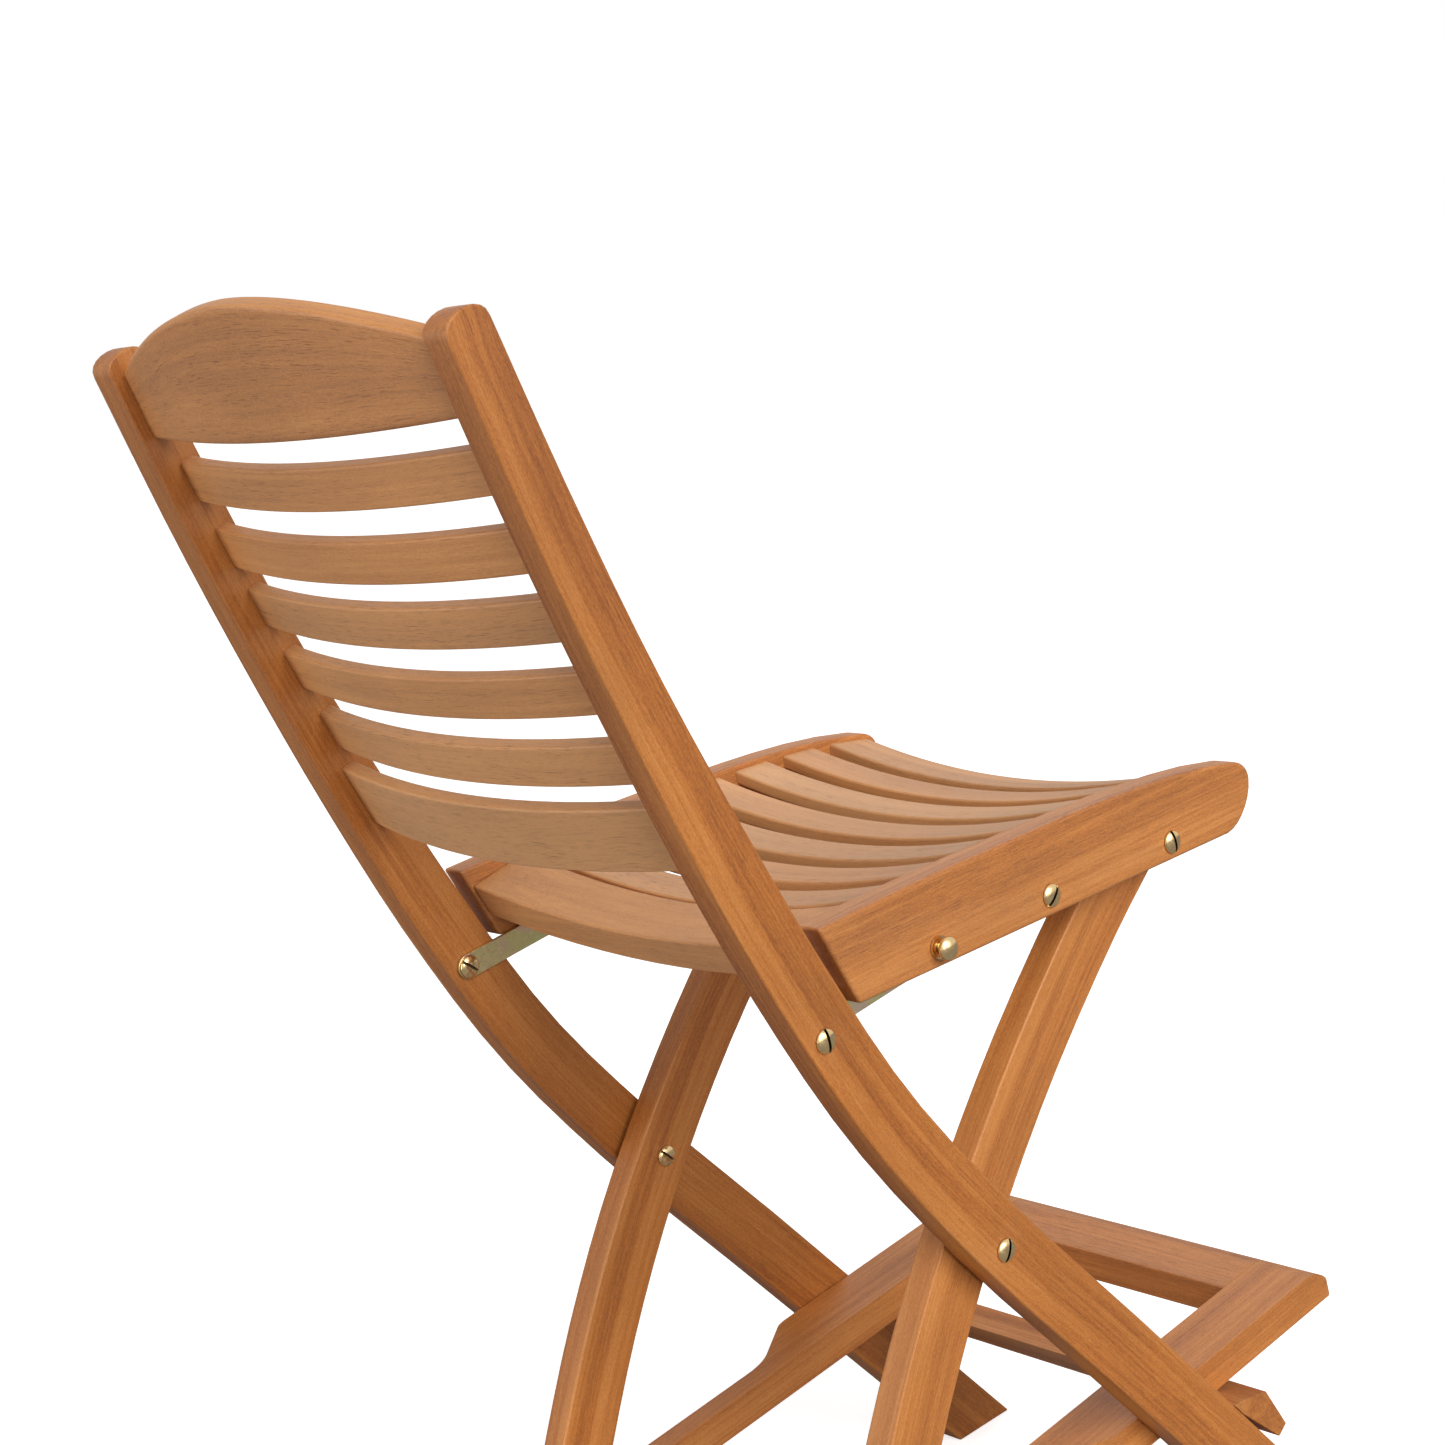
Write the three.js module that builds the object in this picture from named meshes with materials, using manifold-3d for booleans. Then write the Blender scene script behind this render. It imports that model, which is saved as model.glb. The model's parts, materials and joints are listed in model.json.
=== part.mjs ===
// Folding high chair of oiled teak boards with a footrest, brass pivot bolts and plated steel link bars.
// Two long curved boards are the back posts and the front legs in one. Two inner legs cross them, carry
// the seat near its front edge and the footrest near the floor. Flat link bars tie the seat to the posts.
//
// Side view used below: x is forward, y is height above the floor, z is towards the sitter's right.
// The exported group stands on Z = 0, faces -Y, and has its origin under the middle of its box.
import * as THREE from "three";
import { mergeVertices } from "three/addons/utils/BufferGeometryUtils.js";
import Module from "manifold-3d";

const wasm = await Module();
wasm.setup();

// ---------------------------------------------------------------- driving dimensions (mm)
const width = 450; // over the outer faces of the posts
const gap = 0.3; // between faces that touch
const postThickness = 26;
const legThickness = 26;
const railThickness = 25;
const linkThickness = 3;
const slatThickness = 11.5;
const seatDish = 24; // how far a seat slat sags at mid width
const backBow = 22; // how far a back slat bows rearward at mid width
const legOuterDepth = 32; // from the post's outer face to the inner leg's outer face
const footrestThickness = 30;
const footrestSlope = THREE.MathUtils.degToRad(5.4);

// Pivots in the side view
const backLinkPivot = { x: 0, y: 640 };
const crossPivot = { x: 137, y: 426 };
const seatLinkPivot = { x: 240.5, y: 667 };
const legTopPivot = { x: 381.5, y: 665 };
const stopStud = { x: 119.5, y: 667.6 };
const footrestPivot = { x: -18, y: 172 };

// Middle line of the post from its top to the floor, and the board's half width at the same places
const postLine = [
  [-179.5, 1161.5, 18], [-144.5, 1040, 19.3], [-105.4, 920, 20.4], [-60.5, 800, 22.8], [-10.1, 680, 24.5],
  [50.5, 560, 25], [132.4, 440, 26.3], [259.2, 280, 27], [369, 140, 27], [495, -20, 27],
];
// Middle line of the inner leg from its top pivot to the floor
const legLine = [
  [381.5, 665, 26], [322.8, 620, 26.5], [234.7, 540, 26.5], [160.9, 460, 26.5], [99.1, 380, 27],
  [47.5, 300, 27], [3.9, 220, 27], [-50, 110, 27], [-110, -20, 27],
];

const slatHeights = [[1057, 1089], [1004, 1036.2], [951.8, 983.5], [898, 929.9], [845.5, 877.5]];
const lowerSlatHeights = [779.5, 830];
const backSlatThickness = 12;
const backSlatInset = 6; // from the posts' front edges to a slat's front face
const lowerSlatInset = 15;
const crestBottom = 1111;
const crestEndHeight = 52; // along the post, at the crest rail's ends
const crestMiddleHeight = 100;
const crestThickness = 15.5;
const crestInset = 11;
const crestArch = 1.8; // the arch's power: higher is flatter on top

const seatPitch = 57;
const seatSlatWidth = 38;
const frontSlat = { rear: 426.5, width: 48 };
const slatBelowRail = 5.5;
// The rear slat is deeper and falls away towards the back.
const rearSlat = { front: 76, width: 66, thickness: 31, middle: 28, drop: 14, inset: 2.5 };

const bolt = { head: 9, rise: 4.2, shank: 4.5, hole: 4.85, bore: 2.9, screw: 2.5, slot: 1.8, sides: 12 };

// ---------------------------------------------------------------- materials
const colours = {
  teak: 0xb87440, teakDark: 0xa9683a, teakLight: 0xc58a58, brass: 0xd6b25e, zinc: 0xb9ac5a,
};
const wood = (colour) => new THREE.MeshStandardMaterial({ color: colour, roughness: 0.55, metalness: 0 });
const brass = () => new THREE.MeshStandardMaterial({ color: colours.brass, roughness: 0.25, metalness: 1 });
const zinc = () => new THREE.MeshStandardMaterial({ color: colours.zinc, roughness: 0.4, metalness: 1 });

// ---------------------------------------------------------------- helpers
const chair = new THREE.Group();
const side = new THREE.Group(); // holds everything in side-view axes
chair.add(side);

function add(name, geometry, material) {
  const mesh = new THREE.Mesh(geometry, material);
  mesh.name = name;
  side.add(mesh);
}

// Turns a closed mesh into a manifold-3d solid.
function solid(geometry) {
  const bare = geometry.index ? geometry.toNonIndexed() : geometry.clone();
  bare.deleteAttribute("normal");
  bare.deleteAttribute("uv");
  const merged = mergeVertices(bare, 1e-3);
  return new wasm.Manifold(
    new wasm.Mesh({
      numProp: 3,
      vertProperties: new Float32Array(merged.attributes.position.array),
      triVerts: new Uint32Array(merged.index.array),
    }),
  );
}

function geometryOf(body) {
  const { vertProperties, triVerts, numProp } = body.getMesh();
  const positions = new Float32Array((vertProperties.length / numProp) * 3);
  for (let i = 0; i < positions.length / 3; i++) {
    positions.set(vertProperties.subarray(i * numProp, i * numProp + 3), i * 3);
  }
  const geometry = new THREE.BufferGeometry();
  geometry.setAttribute("position", new THREE.BufferAttribute(positions, 3));
  geometry.setIndex([...triVerts]);
  geometry.computeVertexNormals();
  return geometry;
}

// A board: a side-view outline with round holes, between two depths from the post's outer face.
// hand is 1 on the sitter's right and -1 on the left.
function board(outline, holes, depth, thickness, hand) {
  const shape = Array.isArray(outline) ? new THREE.Shape(outline.map(([x, y]) => new THREE.Vector2(x, y))) : outline;
  shape.holes = holes.map(({ x, y }) => new THREE.Path().absarc(x, y, bolt.hole, 0, 2 * Math.PI, true));
  const geometry = new THREE.ExtrudeGeometry(shape, { depth: thickness, bevelEnabled: false, curveSegments: 7 });
  const outer = width / 2 - depth;
  return geometry.translate(0, 0, hand > 0 ? outer - thickness : -outer);
}

// Edges of a bent board from its middle line: points [x, y, half width] joined by a smooth curve.
function boardLine(line, samples) {
  const curve = new THREE.CatmullRomCurve3(line.map((p) => new THREE.Vector3(...p)), false, "centripetal");
  return Array.from({ length: samples + 1 }, (_, i) => {
    const p = curve.getPoint(i / samples);
    const t = curve.getTangent(i / samples).setZ(0).normalize();
    return { x: p.x, y: p.y, half: p.z, tangent: t };
  });
}

// t runs down the board, so (-t.y, t.x) is its front.
const edgePoint = (s, sign) => [s.x - sign * s.tangent.y * s.half, s.y + sign * s.tangent.x * s.half];

// Ends an edge where it meets the floor.
function cutAtFloor(edge) {
  const last = edge.findIndex((p) => p[1] < 0);
  const [a, b] = [edge[last - 1], edge[last]];
  const k = a[1] / (a[1] - b[1]);
  return [...edge.slice(0, last), [a[0] + k * (b[0] - a[0]), 0]];
}

// Outline of a bent board: round top end, sides along the line, level cut at the floor.
function bentBoard(line, samples, capHeight) {
  const stations = boardLine(line, samples);
  const front = cutAtFloor(stations.map((s) => edgePoint(s, 1)));
  const rear = cutAtFloor(stations.map((s) => edgePoint(s, -1)));
  const top = stations[0];
  const capSteps = 10;
  const cap = [];
  for (let i = 1; i < capSteps; i++) {
    const a = (i / capSteps) * Math.PI;
    const along = -capHeight * Math.sin(a) ** 0.8;
    const across = -top.half * Math.cos(a);
    cap.push([top.x + top.tangent.x * along - top.tangent.y * across,
      top.y + top.tangent.y * along + top.tangent.x * across]);
  }
  return [...rear.reverse(), ...cap, ...front].reverse();
}

// The post's front edge, its upward direction and its forward direction at a height.
const postStations = boardLine(postLine, 240);
function postFrontAt(height) {
  const i = postStations.findIndex((s) => s.y <= height);
  const s = postStations[Math.max(i, 0)];
  const up = new THREE.Vector3(-s.tangent.x, -s.tangent.y, 0);
  const forward = new THREE.Vector3(up.y, -up.x, 0);
  return { edge: new THREE.Vector3(s.x, s.y, 0).addScaledVector(forward, s.half), up, forward };
}

// A strip bowed across the chair: its ends at +-span / 2, its middle at -sag, in the shape's own plane.
// Its thickness may change from the ends to the middle.
function bowedStrip(span, sag, thickness, middle = thickness, steps = 12) {
  const low = [];
  const high = [];
  for (let i = 0; i <= steps; i++) {
    const x = (i / steps - 0.5) * span;
    const bow = 1 - (2 * x / span) ** 2;
    high.push(new THREE.Vector2(x, -sag * bow));
    low.push(new THREE.Vector2(x, -sag * bow - thickness + (thickness - middle) * bow));
  }
  return new THREE.Shape([...low, ...high.reverse()]);
}

function place(geometry, xAxis, yAxis, zAxis, origin) {
  return geometry.applyMatrix4(new THREE.Matrix4().makeBasis(xAxis, yAxis, zAxis).setPosition(origin));
}
const lateral = new THREE.Vector3(0, 0, 1);

// ---------------------------------------------------------------- turned brass pieces
// A profile of [radius, depth] pairs turned about a lateral axis. Depth is from the post's outer face,
// and grows inwards. slotDepth cuts a screwdriver slot across the face that lies at that depth.
function turned(profile, at, hand, slotDepth = null, slotAngle = 0.6) {
  const points = profile.map(([r, d]) => new THREE.Vector2(r, width / 2 - d));
  const rising = points[points.length - 1].y > points[0].y;
  let geometry = new THREE.LatheGeometry(rising ? points : points.reverse(), bolt.sides);
  if (slotDepth === null) {
    geometry = geometryOf(solid(geometry));
  } else {
    const cut = new THREE.BoxGeometry(bolt.slot, 3.2, 4 * bolt.head);
    cut.rotateY(slotAngle).translate(0, width / 2 - slotDepth, 0);
    geometry = geometryOf(solid(geometry).subtract(solid(cut)));
  }
  geometry.rotateX((hand * Math.PI) / 2);
  return geometry.translate(at.x, at.y, 0);
}

// Dome of a bolt head, from its crown to its rim: face is the depth of the wood under it, out is -1
// when the crown points to the chair's outside.
const dome = (face, out, rise = bolt.rise, r = bolt.head) => [
  [0, face + out * rise], [r * 0.55, face + out * rise * 0.85], [r * 0.88, face + out * rise * 0.5], [r, face],
];

// Sleeve nut: an outer dome with a hollow barrel that ends at `end`.
const sleeveNut = (face, end, rise) => [
  ...dome(face, -1, rise), [bolt.shank, face], [bolt.shank, end], [bolt.bore, end],
  [bolt.bore, (face + end) / 2], [0, (face + end) / 2],
];

// Screw: an inner dome whose shank runs into the sleeve nut's barrel.
const sleeveScrew = (face, tip) => [
  ...dome(face, 1), [bolt.screw, face], [bolt.screw, tip], [0, tip],
];

const spacer = (from, to, r) => [
  [bolt.hole, from], [r, from], [r, to], [bolt.hole, to], [bolt.hole, from],
];

// A pivot through everything between two depths, as a sleeve nut and its screw.
function pivotBolt(name, at, outerFace, innerFace, hand, rise) {
  const tag = hand > 0 ? "right" : "left";
  const nutEnd = innerFace - gap;
  const middle = (outerFace - gap + nutEnd) / 2;
  add(`${name}_nut_${tag}`, turned(sleeveNut(outerFace - gap, nutEnd, rise), at, hand,
    outerFace - gap - (rise ?? bolt.rise)), brass());
  add(`${name}_screw_${tag}`, turned(sleeveScrew(innerFace + gap, middle + gap), at, hand,
    innerFace + gap + bolt.rise, -0.5), brass());
}

// A ring closed on itself, turned with its outside facing out.
function ring(from, to, r, at, hand) {
  const points = spacer(from, to, r).map(([radius, d]) => new THREE.Vector2(radius, width / 2 - d));
  const geometry = new THREE.LatheGeometry(points.reverse(), bolt.sides);
  geometry.rotateX((hand * Math.PI) / 2);
  return geometry.translate(at.x, at.y, 0);
}

// ---------------------------------------------------------------- posts, inner legs, seat rails, links
const postSamples = 30;
const postCap = 13; // height of the round at the post's top
const legSamples = 24;
const legCap = 25;
const postOutline = bentBoard(postLine, postSamples, postCap);
const legOutline = bentBoard(legLine, legSamples, legCap);

// Top edge of a seat rail: almost straight, falling away towards the front.
function railTop(x) {
  const frontDrop = 16 * Math.max((x - 100) / 370, 0) ** 5;
  const rearDrop = 3.5 * Math.max((150 - x) / 140, 0) ** 2;
  return 719.8 - frontDrop - rearDrop;
}
const rail = {
  rearTop: 11.7, rearBottom: 38, rearBottomY: 653,
  frontTop: 468, nose: 485.5, noseY: 686, frontBottom: 452, frontBottomY: 650,
};

function railOutline() {
  const shape = new THREE.Shape();
  shape.moveTo(rail.rearBottom, rail.rearBottomY);
  shape.lineTo(rail.frontBottom, rail.frontBottomY);
  shape.bezierCurveTo(rail.frontBottom + 14, rail.frontBottomY + 1, rail.nose - 1, 668, rail.nose, rail.noseY);
  shape.quadraticCurveTo(rail.nose, 700.5, rail.frontTop, railTop(rail.frontTop));
  const steps = 12;
  for (let i = 1; i <= steps; i++) {
    const x = rail.frontTop + (i / steps) * (rail.rearTop - rail.frontTop);
    shape.lineTo(x, railTop(x));
  }
  return shape;
}

// Flat bar with round ends between two pivots.
function linkOutline(a, b, half) {
  const angle = Math.atan2(b.y - a.y, b.x - a.x);
  const shape = new THREE.Shape();
  shape.absarc(a.x, a.y, half, angle + Math.PI / 2, angle + (3 * Math.PI) / 2, false);
  shape.absarc(b.x, b.y, half, angle - Math.PI / 2, angle + Math.PI / 2, false);
  return shape;
}
const linkHalfWidth = 10;
const railDepth = 0.5; // the rail's outer face is a hair inside the post's
const linkDepth = postThickness + gap;
const linkInner = linkDepth + linkThickness;
const legInner = legOuterDepth + legThickness;

// The footrest's lengths run forward from its pivot, and its depths in from the post's outer face. Its side
// rails are wide in front, between the posts, and step in behind to pass inside the inner legs.
const footrest = {
  length: 555, tail: 17, outer: 27.5, inner: 84, rearOuter: legInner + 5, stepStart: 205, stepEnd: 272,
  bar: 69, corner: 5, noseStart: 524, noseEnd: -9,
};

for (const hand of [1, -1]) {
  const tag = hand > 0 ? "right" : "left";
  add(`${tag}_post`, board(postOutline, [backLinkPivot, crossPivot], 0, postThickness, hand), wood(colours.teak));
  add(`${tag}_inner_leg`, board(legOutline, [crossPivot, legTopPivot, footrestPivot], legOuterDepth, legThickness,
    hand), wood(colours.teak));
  add(`${tag}_seat_rail`, board(railOutline(), [stopStud, seatLinkPivot, legTopPivot], railDepth, railThickness,
    hand), wood(colours.teakLight));
  add(`${tag}_link_bar`, board(linkOutline(backLinkPivot, seatLinkPivot, linkHalfWidth),
    [backLinkPivot, seatLinkPivot], linkDepth, linkThickness, hand), zinc());

  pivotBolt("back_link", backLinkPivot, 0, linkInner, hand);
  pivotBolt("cross", crossPivot, 0, legInner, hand);
  pivotBolt("leg_top", legTopPivot, railDepth, legInner, hand);
  const flatRise = 3.2;
  pivotBolt("footrest", footrestPivot, legOuterDepth, footrest.inner, hand, flatRise);

  add(`footrest_washer_${tag}`, ring(legInner + gap, footrest.rearOuter - gap, 11, footrestPivot, hand), brass());
  add(`cross_spacer_${tag}`, ring(postThickness + gap, legOuterDepth - gap, 12, crossPivot, hand), brass());
  add(`leg_top_spacer_${tag}`, ring(railDepth + railThickness + gap, legOuterDepth - gap, 12, legTopPivot, hand),
    brass());

  // The seat's end of the link pivot stays in the rail, and the link carries its own inner head.
  add(`seat_link_bolt_${tag}`, turned([...dome(railDepth - gap, -1), [bolt.shank, railDepth - gap],
    [bolt.shank, railDepth + railThickness], [0, railDepth + railThickness]], seatLinkPivot, hand,
  railDepth - gap - bolt.rise), brass());
  add(`seat_link_head_${tag}`, turned([...dome(linkInner + gap, 1), [bolt.shank, linkInner + gap],
    [bolt.shank, linkDepth - 0.2], [0, linkDepth - 0.2]], seatLinkPivot, hand, linkInner + gap + bolt.rise), brass());

  // Stand-off stud: collar on the rail, neck, dome, and a shank that rests on the link bar's upper edge.
  const studShank = 3.9;
  const collar = railDepth - gap;
  add(`stop_stud_${tag}`, turned([...dome(collar - 9.5, -1, 4.6), [5, collar - 9.5], [5, collar - 2.6],
    [8.6, collar - 2], [8.6, collar], [studShank, collar], [studShank, linkInner], [0, linkInner]], stopStud, hand),
  brass());
}

// ---------------------------------------------------------------- backrest
const backSpan = width - 2 * postThickness - 2 * gap;

function backBoard([low, high], inset) {
  const at = postFrontAt((low + high) / 2);
  const length = (high - low) / at.up.y;
  const strip = new THREE.ExtrudeGeometry(bowedStrip(backSpan, backBow, backSlatThickness), { depth: length,
    bevelEnabled: false });
  const origin = at.edge.clone().addScaledVector(at.up, -length / 2).addScaledVector(at.forward, -inset);
  return place(strip, lateral, at.forward, at.up, origin);
}

slatHeights.forEach((heights, i) => {
  add(`back_slat_${i + 1}`, backBoard(heights, backSlatInset), wood(colours.teakDark));
});
add("lower_back_slat", backBoard(lowerSlatHeights, lowerSlatInset), wood(colours.teakDark));

// Crest rail: the same bow, thicker, with an arched top edge.
function crestRail() {
  const at = postFrontAt(crestBottom + crestEndHeight / 2);
  const block = new THREE.ExtrudeGeometry(bowedStrip(backSpan, backBow, crestThickness), {
    depth: crestMiddleHeight + 30, bevelEnabled: false,
  });
  const arch = new THREE.Shape();
  const steps = 20;
  arch.moveTo(backSpan / 2, 0);
  for (let i = 0; i <= steps; i++) {
    const k = 1 - (2 * i) / steps;
    const rise = 1 - Math.abs(k) ** crestArch;
    arch.lineTo((k * backSpan) / 2, crestEndHeight + (crestMiddleHeight - crestEndHeight) * rise);
  }
  arch.lineTo(-backSpan / 2, 0);
  const prism = new THREE.ExtrudeGeometry(arch, { depth: 200, bevelEnabled: false });
  // the arch stands in the lateral and upward plane, and runs through the block's depth
  prism.applyMatrix4(new THREE.Matrix4().makeBasis(new THREE.Vector3(1, 0, 0), new THREE.Vector3(0, 0, 1),
    new THREE.Vector3(0, -1, 0)).setPosition(0, 100, 0));
  const cut = geometryOf(solid(block).intersect(solid(prism)));
  const origin = at.edge.clone().addScaledVector(at.up, -crestEndHeight / 2)
    .addScaledVector(at.forward, -crestInset);
  return place(cut, lateral, at.forward, at.up, origin);
}
add("crest_rail", crestRail(), wood(colours.teak));

// ---------------------------------------------------------------- seat slats
const seatSpan = width - 2 * (railDepth + railThickness) - 2 * gap;

function seatSlat(rearEdge, slatWidth) {
  const middle = rearEdge + slatWidth / 2;
  const slope = Math.atan2(railTop(middle + 10) - railTop(middle - 10), 20);
  const along = new THREE.Vector3(Math.cos(slope), Math.sin(slope), 0);
  const up = new THREE.Vector3(-along.y, along.x, 0);
  const strip = new THREE.ExtrudeGeometry(bowedStrip(seatSpan, seatDish, slatThickness), { depth: slatWidth,
    bevelEnabled: false });
  const front = new THREE.Vector3(middle, railTop(middle) - slatBelowRail, 0)
    .addScaledVector(along, slatWidth / 2);
  return place(strip, lateral, up, along.clone().negate(), front);
}

for (let i = 0; i < 7; i++) {
  const slatWidth = i === 0 ? frontSlat.width : seatSlatWidth;
  add(`seat_slat_${i + 1}`, seatSlat(frontSlat.rear - i * seatPitch, slatWidth), wood(colours.teakLight));
}

// Rear slat: slopes down to the back and is cut parallel to the rails' slanted rear ends.
function rearSeatSlat() {
  const slope = Math.atan2(rearSlat.drop, rearSlat.width);
  const along = new THREE.Vector3(Math.cos(slope), Math.sin(slope), 0);
  const up = new THREE.Vector3(-along.y, along.x, 0);
  const strip = new THREE.ExtrudeGeometry(
    bowedStrip(seatSpan, seatDish, rearSlat.thickness, rearSlat.middle),
    { depth: rearSlat.width, bevelEnabled: false },
  );
  const front = new THREE.Vector3(rearSlat.front, railTop(rearSlat.front) - slatBelowRail, 0);
  place(strip, lateral, up, along.clone().negate(), front);
  const lean = (rail.rearBottom - rail.rearTop) / (railTop(rail.rearTop) - rail.rearBottomY);
  const rearAt = (y) => rail.rearBottom + rearSlat.inset + (rail.rearBottomY - y) * lean;
  const [low, high, clear] = [600, 760, -80];
  const behind = new THREE.Shape([
    new THREE.Vector2(rearAt(low), low), new THREE.Vector2(rearAt(high), high), new THREE.Vector2(clear, high),
    new THREE.Vector2(clear, low),
  ]);
  const cutter = new THREE.ExtrudeGeometry(behind, { depth: width, bevelEnabled: false });
  cutter.translate(0, 0, -width / 2);
  return geometryOf(solid(strip).subtract(solid(cutter)));
}
add("rear_seat_slat", rearSeatSlat(), wood(colours.teakLight));

// ---------------------------------------------------------------- stretchers
// Front stretcher: lies on the posts' front edges, and is notched to fit them. Its top carries the footrest.
function frontStretcher() {
  const section = new THREE.Shape([
    new THREE.Vector2(360, 192.2), new THREE.Vector2(369, 193), new THREE.Vector2(402.5, 187),
    new THREE.Vector2(422, 149), new THREE.Vector2(411.5, 142),
  ].reverse());
  const bar = new THREE.ExtrudeGeometry(section, { depth: width, bevelEnabled: false });
  bar.translate(0, 0, -width / 2);
  const around = bentBoard(postLine.map(([x, y, half]) => [x, y, half + gap]), postSamples, postCap);
  const notch = (hand) => solid(board(around, [], -1, postThickness + 1 + gap, hand));
  return geometryOf(solid(bar).subtract(notch(1)).subtract(notch(-1)));
}
add("front_stretcher", frontStretcher(), wood(colours.teak));

// Leg stretcher: a flat bar between the inner legs, below the footrest's pivots.
const legStations = boardLine(legLine, 200);
const legStretcherBar = { height: 100, thickness: 20, depth: 42 };
const legStretcherAt = legStations.find((s) => s.y <= legStretcherBar.height);
const legStretcher = new THREE.BoxGeometry(legStretcherBar.thickness, legStretcherBar.depth,
  width - 2 * legInner - 2 * gap);
legStretcher.rotateZ(Math.atan2(-legStretcherAt.tangent.y, -legStretcherAt.tangent.x) - Math.PI / 2);
add("leg_stretcher", legStretcher.translate(legStretcherAt.x, legStretcherAt.y, 0), wood(colours.teak));

// ---------------------------------------------------------------- footrest
// From the plate's axes (x across, y forward, z up) to the side view's, about the footrest's pivot.
function footrestFrame(geometry) {
  const along = new THREE.Vector3(Math.cos(footrestSlope), Math.sin(footrestSlope), 0);
  const up = new THREE.Vector3(-along.y, along.x, 0);
  const origin = new THREE.Vector3(footrestPivot.x, footrestPivot.y, 0);
  return place(geometry, lateral, along, up, origin);
}

// Side profile of the footrest: a round tail about the pivot and a large round on the top front edge.
function footrestProfile(from) {
  const half = footrestThickness / 2;
  const shape = new THREE.Shape();
  shape.moveTo(from, -half);
  shape.lineTo(footrest.length - 4, -half);
  shape.quadraticCurveTo(footrest.length, -half, footrest.length, footrest.noseEnd);
  shape.bezierCurveTo(footrest.length, 4, footrest.noseStart + 18, half, footrest.noseStart, half);
  shape.lineTo(from, half);
  return shape;
}

// Turns an extrusion across the chair (x forward, y up) to the plate's axes (x across, y forward, z up).
function acrossToPlate(geometry, span) {
  geometry.translate(0, 0, -span / 2);
  return geometry.applyMatrix4(new THREE.Matrix4().makeBasis(new THREE.Vector3(0, 1, 0),
    new THREE.Vector3(0, 0, 1), new THREE.Vector3(1, 0, 0)));
}

function footrestRail(hand) {
  const outer = width / 2 - footrest.outer;
  const inner = width / 2 - footrest.inner;
  const rearOuter = width / 2 - footrest.rearOuter;
  const shape = new THREE.Shape();
  shape.moveTo(inner, -footrest.tail);
  shape.lineTo(rearOuter, -footrest.tail);
  shape.lineTo(rearOuter, footrest.stepStart - 8);
  shape.quadraticCurveTo(rearOuter, footrest.stepStart + 9, rearOuter + 7, footrest.stepStart + 21);
  shape.lineTo(outer - 2, footrest.stepEnd - 6);
  shape.quadraticCurveTo(outer, footrest.stepEnd - 1, outer, footrest.stepEnd + 6);
  shape.lineTo(outer, footrest.length - footrest.corner);
  shape.absarc(outer - footrest.corner, footrest.length - footrest.corner, footrest.corner, 0, Math.PI / 2, false);
  shape.lineTo(inner, footrest.length);
  const plate = new THREE.ExtrudeGeometry(shape, { depth: footrestThickness, bevelEnabled: false, curveSegments: 6 });
  plate.translate(0, 0, -footrestThickness / 2);
  // round the tail about the pivot and bore the pivot hole, both across the plate
  const profile = footrestProfile(0);
  profile.absarc(0, 0, footrestThickness / 2, Math.PI / 2, (3 * Math.PI) / 2, false);
  profile.holes = [new THREE.Path().absarc(0, 0, bolt.hole, 0, 2 * Math.PI, true)];
  const envelope = acrossToPlate(
    new THREE.ExtrudeGeometry(profile, { depth: width, bevelEnabled: false, curveSegments: 7 }), width);
  const whole = geometryOf(solid(plate).intersect(solid(envelope)));
  const placed = footrestFrame(whole);
  return hand > 0 ? placed : mirrored(placed);
}

// The same piece on the other side of the chair.
function mirrored(geometry) {
  geometry.scale(1, 1, -1);
  const index = geometry.index.array;
  for (let i = 0; i < index.length; i += 3) {
    [index[i + 1], index[i + 2]] = [index[i + 2], index[i + 1]];
  }
  return geometry;
}

add("right_footrest_rail", footrestRail(1), wood(colours.teak));
add("left_footrest_rail", footrestRail(-1), wood(colours.teak));
const barSpan = width - 2 * footrest.inner - 2 * gap;
const barGeometry = new THREE.ExtrudeGeometry(footrestProfile(footrest.length - footrest.bar), {
  depth: barSpan, bevelEnabled: false, curveSegments: 7,
});
add("footrest_front_bar", footrestFrame(acrossToPlate(barGeometry, barSpan)), wood(colours.teak));

// ---------------------------------------------------------------- stand the chair on its origin
// side-view axes to the part's: forward is -Y, height is +Z, the sitter's right is -X
side.setRotationFromMatrix(new THREE.Matrix4().makeBasis(new THREE.Vector3(0, -1, 0), new THREE.Vector3(0, 0, 1),
  new THREE.Vector3(-1, 0, 0)));
chair.updateMatrixWorld(true);
const box = new THREE.Box3().setFromObject(chair, true);
side.position.y = -(box.min.y + box.max.y) / 2;
side.position.z = -box.min.z;

export default chair;
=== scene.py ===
"""Folding high chair of oiled teak, with a footrest, brass pivot bolts and plated link bars.

Laid out as an add-on and run as a script. Every piece is built in the packed model's frame, in metres:
X to the sitter's left, -Y forward, +Z up.
"""
import json
import math

import bmesh
import bpy
import numpy as np
from bpy.props import FloatProperty, FloatVectorProperty, IntProperty, PointerProperty
from mathutils import Matrix, Vector

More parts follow.
